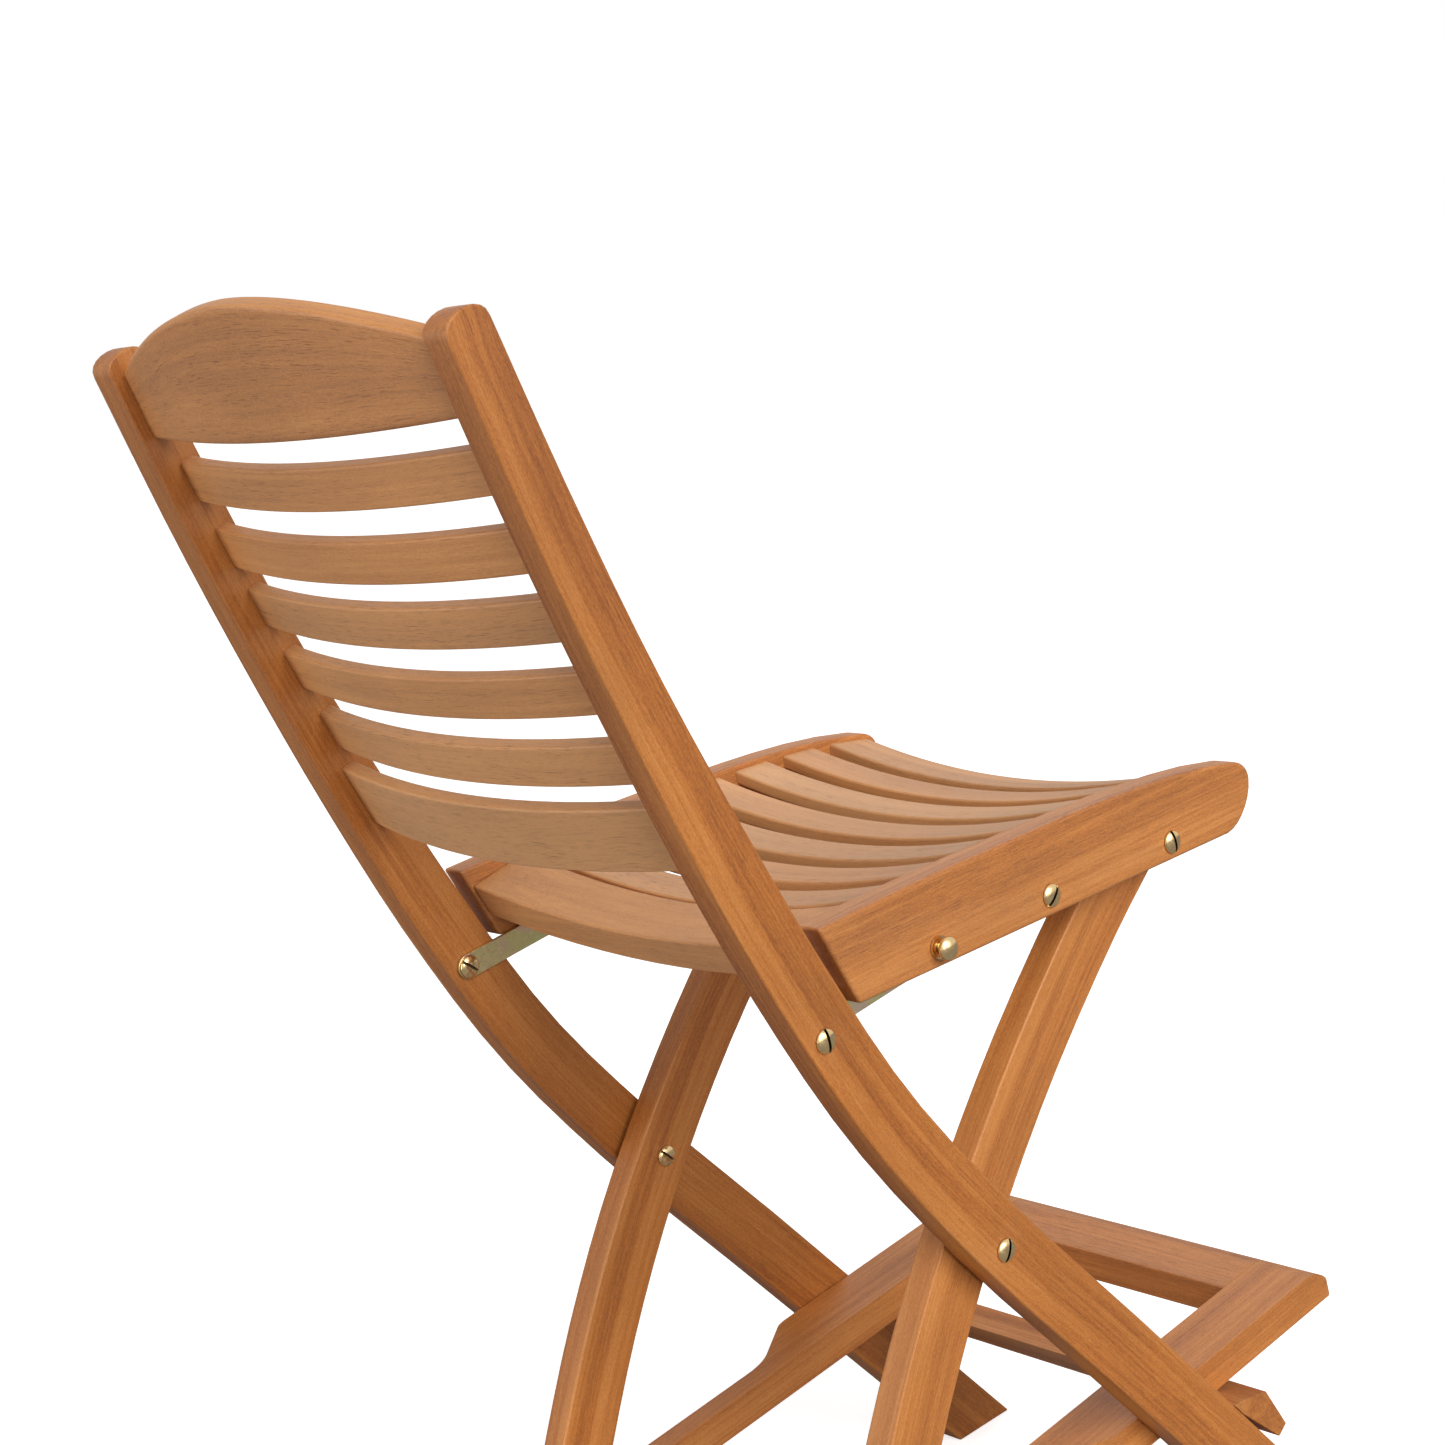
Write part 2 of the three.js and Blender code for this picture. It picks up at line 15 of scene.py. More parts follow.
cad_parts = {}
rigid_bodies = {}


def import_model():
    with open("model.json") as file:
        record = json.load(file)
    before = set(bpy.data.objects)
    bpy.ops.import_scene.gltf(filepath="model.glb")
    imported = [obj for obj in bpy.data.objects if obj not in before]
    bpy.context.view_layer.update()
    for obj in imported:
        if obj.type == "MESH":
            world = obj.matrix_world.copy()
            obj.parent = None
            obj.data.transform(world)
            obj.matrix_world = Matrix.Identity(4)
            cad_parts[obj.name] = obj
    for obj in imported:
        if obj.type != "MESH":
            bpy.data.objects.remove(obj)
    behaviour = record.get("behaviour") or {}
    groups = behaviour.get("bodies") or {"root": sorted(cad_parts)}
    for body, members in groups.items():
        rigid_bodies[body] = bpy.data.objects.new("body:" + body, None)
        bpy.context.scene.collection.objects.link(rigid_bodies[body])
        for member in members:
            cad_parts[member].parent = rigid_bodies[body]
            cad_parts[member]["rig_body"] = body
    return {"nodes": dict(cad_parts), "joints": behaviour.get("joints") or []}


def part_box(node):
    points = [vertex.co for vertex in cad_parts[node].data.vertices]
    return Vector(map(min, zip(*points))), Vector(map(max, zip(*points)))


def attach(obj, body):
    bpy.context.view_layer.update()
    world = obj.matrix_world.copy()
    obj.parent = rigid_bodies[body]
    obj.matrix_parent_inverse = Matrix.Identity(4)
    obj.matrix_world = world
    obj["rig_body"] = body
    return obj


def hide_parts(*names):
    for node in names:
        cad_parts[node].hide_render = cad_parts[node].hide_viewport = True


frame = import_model()

bl_info = {
    "name": "Folding High Chair",
    "version": (1, 0, 0),
    "blender": (4, 5, 0),
    "location": "View3D > Sidebar > Chair",
    "description": "Builds an oiled teak folding high chair around its packed frame",
    "category": "Object",
}

MM = 0.001
SIDES = ("right", "left")
FORWARD = (0, -1, 0)
UP = (0, 0, 1)
ACROSS = (1, 0, 0)

CORNER = math.radians(38)  # edges sharper than this are eased, and split the shading
BRASS_CORNER = 30.0  # degrees, the same for bolts and studs
RING_CORNER = 40.0
BORE_RIM = 5.4 * MM  # vertices this near a pivot's axis belong to its bore
FLAT_JOIN = math.radians(0.25)  # faces nearer than this to one plane are joined
OVERLAP = 0.4 * MM  # how far solids enter each other before they are united
BARREL = 12 * MM  # length of a bolt's barrel behind its head
HEAD_RIM = 0.7 * MM  # straight edge under a dome head
RIM_OVERLAP = 0.02 * MM
PAST_HEAD = 1.2  # cutters reach past a head by this many of its radii
UNDER_HEAD = 1.8 * MM  # how far a stud's round head goes down past its widest place
COLLAR_GAP = 0.3 * MM  # between a stud's collar and its rail

# How pale each board is, from 0, dark, to 1, pale: right then left where there are two
# the left post's low tone is painted shade: it darkens the whole board for the shade that falls on its
# inner face
POST_TONES_AND_SHADE = (0.26, 0.06)
LEG_TONES = (0.34, 0.20)
RAIL_TONE = 0.40
STRETCHER_TONES = (0.20, 0.30)
FOOTREST_TONE = 0.36
FOOTREST_BAR_TONE = 0.42
REAR_SLAT_TONE = 0.78
CREST_TONE = 0.62
BACK_SLAT_TONES = (0.70, 0.64, 0.84, 0.76, 0.90)
LOWER_SLAT_TONE = 0.98
SEAT_SLAT_TONES = (0.86, 0.76, 0.98, 0.82, 0.92, 0.74, 0.88)

# Side-view directions of straight grain
RAIL_GRAIN = (0, -1, 0.012)
FOOTREST_GRAIN = (0, -1, 0.095)

# Colours of a pale board, of convex edges (part wear, part painted highlight) and of open pores
PALE_BOARD = (0.760, 0.430, 0.195)
EDGE_WEAR_AND_HIGHLIGHT = (0.690, 0.385, 0.190)
OPEN_PORE = (0.120, 0.040, 0.012)

# The camera, from the link pivot between the posts: its place, then its own axes
CAMERA_PLACE = (-1.5044, 1.0891, 0.5942)
CAMERA_AXES = ((-0.6526, -0.7383, -0.1704), (0.0499, -0.2664, 0.9625), (-0.7560, 0.6197, 0.2107))
LIT_POINT = (0.0, 0.0, 0.75)
FLOOR_REACH = 14.0
PIVOT_NODES = ("back_link_nut", "cross_nut", "leg_top_nut", "footrest_nut", "seat_link_bolt",
               "stop_stud")


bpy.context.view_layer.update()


# ---------------------------------------------------------------- settings
class ChairWood(bpy.types.PropertyGroup):
    """Colours and finish of the teak"""

    heart: FloatVectorProperty(name="Heart", description="Darkest bands of the wood", subtype="COLOR",
                               default=(0.350, 0.094, 0.012), size=3, min=0, max=1)
    body: FloatVectorProperty(name="Body", description="Most of the wood", subtype="COLOR",
                              default=(0.560, 0.186, 0.031), size=3, min=0, max=1)
    sap: FloatVectorProperty(name="Sap", description="Palest bands of the wood", subtype="COLOR",
                             default=(0.720, 0.290, 0.072), size=3, min=0, max=1)
    gloss: FloatProperty(name="Gloss", description="How far the oil has closed the surface", default=0.5,
                         min=0, max=1, subtype="FACTOR")
    grain_depth: FloatProperty(name="Grain depth", description="Height of the open grain", default=0.00012,
                               unit="LENGTH", min=0, max=0.001)


class ChairEdges(bpy.types.PropertyGroup):
    """Eased edges"""

    board: FloatProperty(name="Boards", description="Radius on the posts, legs and stretchers",
                         default=0.0019, unit="LENGTH", min=0.0002, max=0.006)
    rail: FloatProperty(name="Seat rails", description="Radius on the seat rails", default=0.0031,
                        unit="LENGTH", min=0.0002, max=0.008)
    footrest: FloatProperty(name="Footrest", description="Radius on the footrest", default=0.0031,
                            unit="LENGTH", min=0.0002, max=0.006)
    slat: FloatProperty(name="Slats", description="Radius along the slats", default=0.0022,
                        unit="LENGTH", min=0.0002, max=0.005)
    segments: IntProperty(name="Segments", description="Faces around an eased edge", default=4,
                          min=1, max=8)


class ChairBrass(bpy.types.PropertyGroup):
    """Bolt heads, studs and rings"""

    colour: FloatVectorProperty(name="Brass", description="Colour of the polished brass", subtype="COLOR",
                                default=(0.910, 0.660, 0.330), size=3, min=0, max=1)
    slot_width: FloatProperty(name="Slot width", description="Width of a screwdriver slot", default=0.0024,
                              unit="LENGTH", min=0.0005, max=0.004)
    slot_depth: FloatProperty(name="Slot depth", description="Depth of a screwdriver slot", default=0.0034,
                              unit="LENGTH", min=0.0005, max=0.004)
    shank: FloatProperty(name="Shank radius", description="Radius of a bolt's barrel", default=0.0045,
                         unit="LENGTH", min=0.002, max=0.0048)


class ChairStage(bpy.types.PropertyGroup):
    """Floor, lights and camera"""

    lens: FloatProperty(name="Lens", description="Focal length of the camera", default=64.37, unit="CAMERA",
                        min=20, max=200)
    floor: FloatVectorProperty(name="Floor", description="Colour of the floor", subtype="COLOR",
                               default=(0.90, 0.90, 0.90), size=3, min=0, max=1)
    sun: FloatProperty(name="Sun", description="Strength of the even light from the sitter's right",
                       default=2.7, min=0)
    softness: FloatProperty(name="Softness", description="How wide the even light is", default=0.75,
                            subtype="ANGLE", min=0, max=3.14)
    panel: FloatProperty(name="Panels", description="Power of the largest soft panel", default=45.0,
                         unit="POWER", min=0)
    sky: FloatProperty(name="Surround", description="Strength of the surround's light", default=0.18,
                       min=0)
    glow: FloatProperty(name="Floor glow", description="Extra paleness of the floor that lights nothing",
                        default=0.62, min=0)
    bounce: FloatProperty(name="Floor bounce", description="Share of the light that the floor gives back",
                          default=0.35, min=0, max=1)


SETTINGS = {"chair_wood": ChairWood, "chair_edges": ChairEdges, "chair_brass": ChairBrass,
            "chair_stage": ChairStage}


def setting(group):
    return getattr(bpy.context.scene, group)


# ---------------------------------------------------------------- node helpers
def put(tree, kind, inputs=(), **props):
    """Adds a node. Inputs are given by name or by place, as a value or as another node's output."""
    node = tree.nodes.new(kind)
    for key, value in props.items():
        setattr(node, key, value)
    pairs = inputs.items() if isinstance(inputs, dict) else enumerate(inputs)
    for key, value in pairs:
        if value is None:
            continue
        if isinstance(value, bpy.types.NodeSocket):
            tree.links.new(value, node.inputs[key])
        else:
            node.inputs[key].default_value = value
    return node


def math_node(tree, operation, *values):
    return put(tree, "ShaderNodeMath", values, operation=operation).outputs[0]


def vector_node(tree, operation, *values):
    return put(tree, "ShaderNodeVectorMath", values, operation=operation).outputs[0]


def grain_noise(tree, vector, stretch, detail=3.0, roughness=0.55, distortion=0.0):
    """Noise drawn out along the grain: stretch is its changes in a metre, along and across."""
    along, across = stretch
    drawn = vector_node(tree, "MULTIPLY", vector, (along, across, across))
    return put(tree, "ShaderNodeTexNoise", {"Vector": drawn, "Scale": 1.0, "Detail": detail,
                                            "Roughness": roughness, "Distortion": distortion}).outputs[0]


def ranged(tree, value, low, high, to_low=0.0, to_high=1.0):
    return put(tree, "ShaderNodeMapRange", [value, low, high, to_low, to_high]).outputs[0]


def mixed(tree, factor, a, b, blend="MIX"):
    node = put(tree, "ShaderNodeMix", data_type="RGBA", blend_type=blend)
    for socket, value in ((node.inputs["Factor"], factor), (node.inputs[6], a), (node.inputs[7], b)):
        if isinstance(value, bpy.types.NodeSocket):
            tree.links.new(value, socket)
        else:
            socket.default_value = value if isinstance(value, float) else (*value[:3], 1.0)
    return node.outputs[2]


def new_material(name):
    material = bpy.data.materials.new(name)
    material.use_nodes = True
    tree = material.node_tree
    tree.nodes.clear()
    shader = put(tree, "ShaderNodeBsdfPrincipled")
    put(tree, "ShaderNodeOutputMaterial", {"Surface": shader.outputs[0]})
    return material, tree, shader


# ---------------------------------------------------------------- materials
def teak():
    """Oiled teak: bands, streaks and short pores along the grain, paler and smoother on convex edges, part
    wear and part painted highlight.
    """
    if "oiled_teak" in bpy.data.materials:
        return bpy.data.materials["oiled_teak"]
    wood = setting("chair_wood")
    material, tree, shader = new_material("oiled_teak")
    grain = put(tree, "ShaderNodeAttribute", attribute_name="grain").outputs["Vector"]
    tone = put(tree, "ShaderNodeAttribute", attribute_name="tone").outputs["Fac"]

    sway = vector_node(tree, "MULTIPLY", grain, (3.2, 9.0, 9.0))
    sway = put(tree, "ShaderNodeTexNoise", {"Vector": sway, "Scale": 1.0, "Detail": 1.5}).outputs["Color"]
    sway = vector_node(tree, "MULTIPLY", vector_node(tree, "SUBTRACT", sway, (0.5, 0.5, 0.5)),
                       (0.0, 0.010, 0.010))
    grain = vector_node(tree, "ADD", grain, sway)

    bands = grain_noise(tree, grain, (1.1, 42.0), 3.0, 0.5, 0.4)
    streaks = grain_noise(tree, grain, (3.6, 340.0), 4.0, 0.6)
    fibres = grain_noise(tree, grain, (45.0, 1500.0), 2.0, 0.6)
    speckle = grain_noise(tree, grain, (420.0, 1300.0), 1.0, 0.5)
    pores = grain_noise(tree, grain, (62.0, 2300.0), 1.0, 0.5)
    cloud = grain_noise(tree, grain, (6.0, 14.0), 2.0, 0.5)

    figure = math_node(tree, "MULTIPLY_ADD", ranged(tree, bands, 0.30, 0.70), 0.46, 0.0)
    figure = math_node(tree, "MULTIPLY_ADD", ranged(tree, streaks, 0.30, 0.70), 0.34, figure)
    figure = math_node(tree, "MULTIPLY_ADD", ranged(tree, fibres, 0.30, 0.70), 0.16, figure)
    figure = math_node(tree, "MULTIPLY_ADD", ranged(tree, speckle, 0.35, 0.65, -0.5, 0.5), 0.22, figure)
    ramp = put(tree, "ShaderNodeValToRGB", [figure])
    ramp.color_ramp.elements[0].position = 0.12
    ramp.color_ramp.elements[0].color = (*wood.heart, 1)
    ramp.color_ramp.elements[1].position = 0.88
    ramp.color_ramp.elements[1].color = (*wood.sap, 1)
    ramp.color_ramp.elements.new(0.50).color = (*wood.body, 1)
    colour = ramp.outputs[0]
    # pieces sawn from different boards, and slow changes of depth in one board
    colour = mixed(tree, ranged(tree, tone, 0.30, 1.0, 0.0, 0.62), colour, PALE_BOARD)
    # low tones darken the whole board; on the left post this darkening is painted shade
    depth = ranged(tree, tone, 0.0, 0.5, 0.72, 1.0)
    shade = math_node(tree, "MULTIPLY", ranged(tree, cloud, 0.30, 0.70, 0.90, 1.08), depth)
    shade = put(tree, "ShaderNodeCombineColor", [shade, shade, shade]).outputs[0]
    colour = mixed(tree, 1.0, colour, shade, "MULTIPLY")
    # pores open in the darker bands
    pore = math_node(tree, "MULTIPLY", ranged(tree, pores, 0.60, 0.70),
                     ranged(tree, bands, 0.62, 0.38, 0.35, 1.0))
    colour = mixed(tree, math_node(tree, "MULTIPLY", pore, 0.55), colour, OPEN_PORE)
    # convex edges made paler: part wear, part painted highlight for edges that catch the light
    convex = put(tree, "ShaderNodeNewGeometry").outputs["Pointiness"]
    edge_wear_and_highlight = math_node(tree, "MULTIPLY", ranged(tree, convex, 0.52, 0.62),
                     ranged(tree, streaks, 0.35, 0.65, 0.12, 0.36))
    colour = mixed(tree, edge_wear_and_highlight, colour, EDGE_WEAR_AND_HIGHLIGHT)
    tree.links.new(colour, shader.inputs["Base Color"])

    rough = ranged(tree, fibres, 0.30, 0.70, 0.62 - 0.30 * wood.gloss, 0.74 - 0.36 * wood.gloss)
    rough = math_node(tree, "MULTIPLY_ADD", pore, 0.20, rough)
    rough = math_node(tree, "MULTIPLY_ADD", edge_wear_and_highlight, -0.12, rough)
    tree.links.new(rough, shader.inputs["Roughness"])
    height = math_node(tree, "MULTIPLY_ADD", streaks, 0.5, math_node(tree, "MULTIPLY", fibres, 0.55))
    height = math_node(tree, "MULTIPLY_ADD", pore, -0.85, height)
    bump = put(tree, "ShaderNodeBump", {"Height": height, "Distance": wood.grain_depth, "Strength": 0.9})
    tree.links.new(bump.outputs[0], shader.inputs["Normal"])
    shader.inputs["Specular IOR Level"].default_value = 0.50
    shader.inputs["Coat Weight"].default_value = 0.06
    shader.inputs["Coat Roughness"].default_value = 0.30
    return material


def metal(name, colour, rough_low, rough_high, tints=(), tarnished=0.45):
    """Metal with fine handling marks, and painted shade that darkens narrow slots and gaps.

    tints are (colour, scale) patches, as on a plated surface.
    """
    if name in bpy.data.materials:
        return bpy.data.materials[name]
    material, tree, shader = new_material(name)
    place = put(tree, "ShaderNodeTexCoord").outputs["Object"]
    shown = tuple(colour)
    for i, (tint, scale) in enumerate(tints):
        moved = vector_node(tree, "ADD", place, (i, 2.0 * i, 0.5))
        patch = put(tree, "ShaderNodeTexNoise", {"Vector": moved, "Scale": scale, "Detail": 2.0,
                                                 "Distortion": 0.8}).outputs[0]
        shown = mixed(tree, ranged(tree, patch, 0.42, 0.58, 0.0, 0.85), shown, tint)
    marks = put(tree, "ShaderNodeTexNoise", {"Vector": place, "Scale": 420.0, "Detail": 4.0}).outputs[0]
    tarnish = put(tree, "ShaderNodeTexNoise", {"Vector": place, "Scale": 160.0, "Detail": 3.0}).outputs[0]
    dull = tuple(0.62 * c for c in colour)
    shown = mixed(tree, ranged(tree, tarnish, 0.50, 0.75, 0.0, tarnished), shown, dull)
    # painted shade: ambient occlusion darkens the colour in screwdriver slots and in narrow gaps between
    # parts
    ao_for_painted_shade = put(tree, "ShaderNodeAmbientOcclusion", {"Distance": 0.003}, samples=8).outputs["AO"]
    shown = mixed(tree, ranged(tree, ao_for_painted_shade, 0.45, 0.80), tuple(0.07 * c for c in colour), shown)
    tree.links.new(shown, shader.inputs["Base Color"])
    tree.links.new(ranged(tree, marks, 0.30, 0.70, rough_low, rough_high), shader.inputs["Roughness"])
    bump = put(tree, "ShaderNodeBump", {"Height": marks, "Distance": 0.00003, "Strength": 0.5})
    tree.links.new(bump.outputs[0], shader.inputs["Normal"])
    shader.inputs["Metallic"].default_value = 1.0
    return material


def brass():
    return metal("polished_brass", setting("chair_brass").colour, 0.14, 0.30)


def zinc():
    return metal("yellow_zinc", (0.860, 0.690, 0.400), 0.24, 0.42,
                 [((0.860, 0.610, 0.500), 21.0), ((0.740, 0.740, 0.320), 27.0)], 0.12)


# ---------------------------------------------------------------- pieces
def plain_mesh(source, name):
    """The evaluated mesh of an object with live modifiers. The object is removed."""
    bpy.context.view_layer.update()
    graph = bpy.context.evaluated_depsgraph_get()
    mesh = bpy.data.meshes.new_from_object(source.evaluated_get(graph), preserve_all_data_layers=True,
                                           depsgraph=graph)
    mesh.name = name
    old = source.data
    bpy.data.objects.remove(source)
    bpy.data.meshes.remove(old)
    return mesh


def linked(name, mesh):
    piece = bpy.data.objects.new(name, mesh)
    bpy.context.scene.collection.objects.link(piece)
    return piece


def turned_out(mesh):
    """Faces of a closed mesh turned to point outwards."""
    shell = bmesh.new()
    shell.from_mesh(mesh)
    if shell.calc_volume(signed=True) < 0:
        bmesh.ops.reverse_faces(shell, faces=shell.faces)
        shell.to_mesh(mesh)
    shell.free()


def finished(name, mesh, body, nodes, sharp=math.degrees(CORNER)):
    """Shades a mesh, and makes it the piece that stands for CAD nodes and rides on their body."""
    turned_out(mesh)
    mesh.polygons.foreach_set("use_smooth", [True] * len(mesh.polygons))
    mesh.set_sharp_from_angle(angle=math.radians(sharp))
    draft = linked(name + "_draft", mesh)
    weighted = draft.modifiers.new("weighted", "WEIGHTED_NORMAL")
    weighted.keep_sharp = True
    weighted.weight = 60
    piece = linked(name, plain_mesh(draft, name))
    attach(piece, body)
    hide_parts(*nodes)
    return piece


def body_of(node):
    return frame["nodes"][node]["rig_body"]


def check_fit(piece, node, slack=0.0018):
    """Stops the build if a piece doesn't fill its CAD node's box."""
    low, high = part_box(node)
    points = np.array([v.co for v in piece.data.vertices])
    miss = max(np.abs(points.min(0) - low).max(), np.abs(points.max(0) - high).max())
    if miss > slack:
        raise RuntimeError(f"{piece.name} is {miss / MM:.2f} mm off {node}")


# ---------------------------------------------------------------- boards
def pivot_axes():
    """Side-view places (y, z) of every bore."""
    boxes = [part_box(f"{name}_{side}") for name in PIVOT_NODES for side in SIDES]
    return [((low.y + high.y) / 2, (low.z + high.z) / 2) for low, high in boxes]


def eased_board(node, radius):
    """A CAD board merged, its flat faces joined, and its long edges eased. Bores keep their sharp rims."""
    board = bmesh.new()
    board.from_mesh(frame["nodes"][node].data)
    bmesh.ops.remove_doubles(board, verts=board.verts, dist=1e-5)
    bmesh.ops.dissolve_limit(board, angle_limit=FLAT_JOIN, verts=board.verts, edges=board.edges)
    bores = pivot_axes()

    def in_bore(vert):
        return any(math.hypot(vert.co.y - y, vert.co.z - z) < BORE_RIM for y, z in bores)

    sharp = [e for e in board.edges if len(e.link_faces) == 2 and e.calc_face_angle(0.0) > CORNER
             and not all(in_bore(v) for v in e.verts)]
    bmesh.ops.bevel(board, geom=sharp, offset=radius, offset_type="OFFSET", affect="EDGES",
                    segments=setting("chair_edges").segments, profile=0.5, clamp_overlap=True)
    return board


def middle_line(board, steps=48):
    """Middle of a standing bent board in the side view, from its foot to its top."""
    foot_inset, top_inset = 2 * MM, 6 * MM
    ends = np.array([[*e.verts[0].co, *e.verts[1].co] for e in board.edges])
    heights = ends[:, [2, 5]]
    low, high = heights.min() + foot_inset, heights.max() - top_inset
    line = []
    for level in np.linspace(low, high, steps):
        crossing = ends[(heights.min(1) <= level) & (heights.max(1) > level)]
        share = (level - crossing[:, 2]) / (crossing[:, 5] - crossing[:, 2])
        across = crossing[:, 1] + share * (crossing[:, 4] - crossing[:, 1])
        line.append(((across.min() + across.max()) / 2, level))
    return np.array(line)


def store_grain(mesh, grain, tone, origin):
    layer = mesh.attributes.new("grain", "FLOAT_VECTOR", "POINT")
    layer.data.foreach_set("vector", (grain + np.array(origin)).astype(np.float32).ravel())
    layer = mesh.attributes.new("tone", "FLOAT", "POINT")
    layer.data.foreach_set("value", np.full(len(mesh.vertices), tone, np.float32))


def along_line(points, line):
    """Distance along and off a middle line for each point (y, z)."""
    start, step = line[:-1], np.diff(line, axis=0)
    length = np.linalg.norm(step, axis=1)
    travelled = np.concatenate([[0.0], np.cumsum(length)])[:-1]
    unit = step / length[:, None]
    offset = points[:, None, :] - start[None, :, :]
    reach = (offset * unit).sum(2)
    kept = np.clip(reach, 0, length)
    kept[:, 0] = np.minimum(reach[:, 0], length[0])
    kept[:, -1] = np.maximum(reach[:, -1], 0)
    away = offset - kept[:, :, None] * unit
    nearest = np.argmin((away ** 2).sum(2), axis=1)
    rows = np.arange(len(points))
    side = unit[nearest, 0] * away[rows, nearest, 1] - unit[nearest, 1] * away[rows, nearest, 0]
    return travelled[nearest] + kept[rows, nearest], side


def as_mesh(board, name):
    mesh = bpy.data.meshes.new(name)
    board.to_mesh(mesh)
    board.free()
    return mesh


def wooden(node, mesh, grain, tone, origin):
    """The teak piece that stands for a board's node."""
    store_grain(mesh, grain, tone, origin)
    mesh.materials.append(teak())
    return finished(mesh.name, mesh, body_of(node), [node])


def bent_piece(node, radius, tone, origin):
    """A standing board whose grain follows its bend, cut across so that the grain can turn."""
    board = eased_board(node, radius)
    line = middle_line(board)
    for i in range(1, len(line) - 1):
        along = line[i + 1] - line[i - 1]
        bmesh.ops.bisect_plane(board, geom=[*board.verts, *board.edges, *board.faces], dist=1e-6,
                               plane_co=(0, *line[i]), plane_no=(0, *along))
    mesh = as_mesh(board, node + "_board")
    points = np.array([v.co for v in mesh.vertices])
    reach, off = along_line(points[:, 1:], line)
    return wooden(node, mesh, np.stack([reach, off, points[:, 0]], 1), tone, origin)


def straight_piece(node, radius, tone, origin, along):
    """A board whose grain runs straight in one direction."""
    mesh = as_mesh(eased_board(node, radius), node + "_board")
    along = Vector(along).normalized()
    across = along.orthogonal().normalized()
    turn = np.array([along, across, along.cross(across)])
    points = np.array([v.co for v in mesh.vertices])
    return wooden(node, mesh, points @ turn.T, tone, origin)


class CHAIR_OT_posts(bpy.types.Operator):
    """Makes the two long bent posts"""

    bl_idname = "chair.posts"
    bl_label = "Posts"

    def execute(self, context):
        radius = context.scene.chair_edges.board
        for i, side in enumerate(SIDES):
            bent_piece(f"{side}_post", radius, POST_TONES_AND_SHADE[i], (3.1 * i, 0.4, 0.9 * i))
        return {"FINISHED"}


class CHAIR_OT_inner_legs(bpy.types.Operator):
    """Makes the two bent legs that cross the posts"""

    bl_idname = "chair.inner_legs"
    bl_label = "Inner legs"

    def execute(self, context):
        radius = context.scene.chair_edges.board
        for i, side in enumerate(SIDES):
            bent_piece(f"{side}_inner_leg", radius, LEG_TONES[i], (7.3 + 2.7 * i, 1.3, 0.2 + i))
        return {"FINISHED"}


class CHAIR_OT_seat_rails(bpy.types.Operator):
    """Makes the seat's two side rails"""

    bl_idname = "chair.seat_rails"
    bl_label = "Seat rails"

    def execute(self, context):
        radius = context.scene.chair_edges.rail
        for i, side in enumerate(SIDES):
            straight_piece(f"{side}_seat_rail", radius, RAIL_TONE, (11.9 + 1.7 * i, 2.2, i), RAIL_GRAIN)
        return {"FINISHED"}


class CHAIR_OT_stretchers(bpy.types.Operator):
    """Makes the bar across the posts' feet and the bar between the inner legs"""

    bl_idname = "chair.stretchers"
    bl_label = "Stretchers"

    def execute(self, context):
        radius = context.scene.chair_edges.board
        for i, node in enumerate(("front_stretcher", "leg_stretcher")):
            straight_piece(node, radius, STRETCHER_TONES[i], (15.2 + i, 3.1, 0.6 * i), ACROSS)
        return {"FINISHED"}


class CHAIR_OT_footrest(bpy.types.Operator):
    """Makes the footrest's two side rails and its front bar"""

    bl_idname = "chair.footrest"
    bl_label = "Footrest"

    def execute(self, context):
        edge = context.scene.chair_edges.footrest
        for i, side in enumerate(SIDES):
            straight_piece(f"{side}_footrest_rail", edge, FOOTREST_TONE, (19.5 + 2.1 * i, 0.7, 1.4 * i),
                           FOOTREST_GRAIN)
        bar_edge = min(edge, 1.2 * MM)
        straight_piece("footrest_front_bar", bar_edge, FOOTREST_BAR_TONE, (24.4, 1.9, 0.3), ACROSS)
        return {"FINISHED"}


class CHAIR_OT_rear_slat(bpy.types.Operator):
    """Makes the deep slat at the seat's back edge"""

    bl_idname = "chair.rear_slat"
    bl_label = "Rear seat slat"

    def execute(self, context):
        radius = context.scene.chair_edges.slat
        straight_piece("rear_seat_slat", radius, REAR_SLAT_TONE, (27.0, 0.1, 0.8), ACROSS)
        return {"FINISHED"}


# ---------------------------------------------------------------- geometry-node trees
def new_tree(name, inputs):
    """An empty modifier tree with named inputs, its group input and a place for its result."""
    tree = bpy.data.node_groups.new(name, "GeometryNodeTree")
    tree.interface.new_socket("Geometry", in_out="OUTPUT", socket_type="NodeSocketGeometry")
    tree.interface.new_socket("Geometry", in_out="INPUT", socket_type="NodeSocketGeometry")
    for label, kind in inputs:
        tree.interface.new_socket(label, in_out="INPUT", socket_type="NodeSocket" + kind)
    return tree, tree.nodes.new("NodeGroupInput").outputs


def end_tree(tree, geometry, material):
    """Ends a tree as every one here ends: real geometry, then its material."""
    real = put(tree, "GeometryNodeRealizeInstances", {"Geometry": geometry}).outputs[0]
    done = put(tree, "GeometryNodeSetMaterial", {"Geometry": real, "Material": material}).outputs[0]
    tree.links.new(done, tree.nodes.new("NodeGroupOutput").inputs[0])


def grown(name, tree, values, base=None):
    """The plain mesh that a tree makes from named values."""
    draft = linked(name + "_draft", base or bpy.data.meshes.new(name + "_base"))
    modifier = draft.modifiers.new("shape", "NODES")
    modifier.node_group = tree
    for item in tree.interface.items_tree:
        if item.in_out == "INPUT" and item.name in values:
            modifier[item.identifier] = values[item.name]
    draft.update_tag()
    return plain_mesh(draft, name)


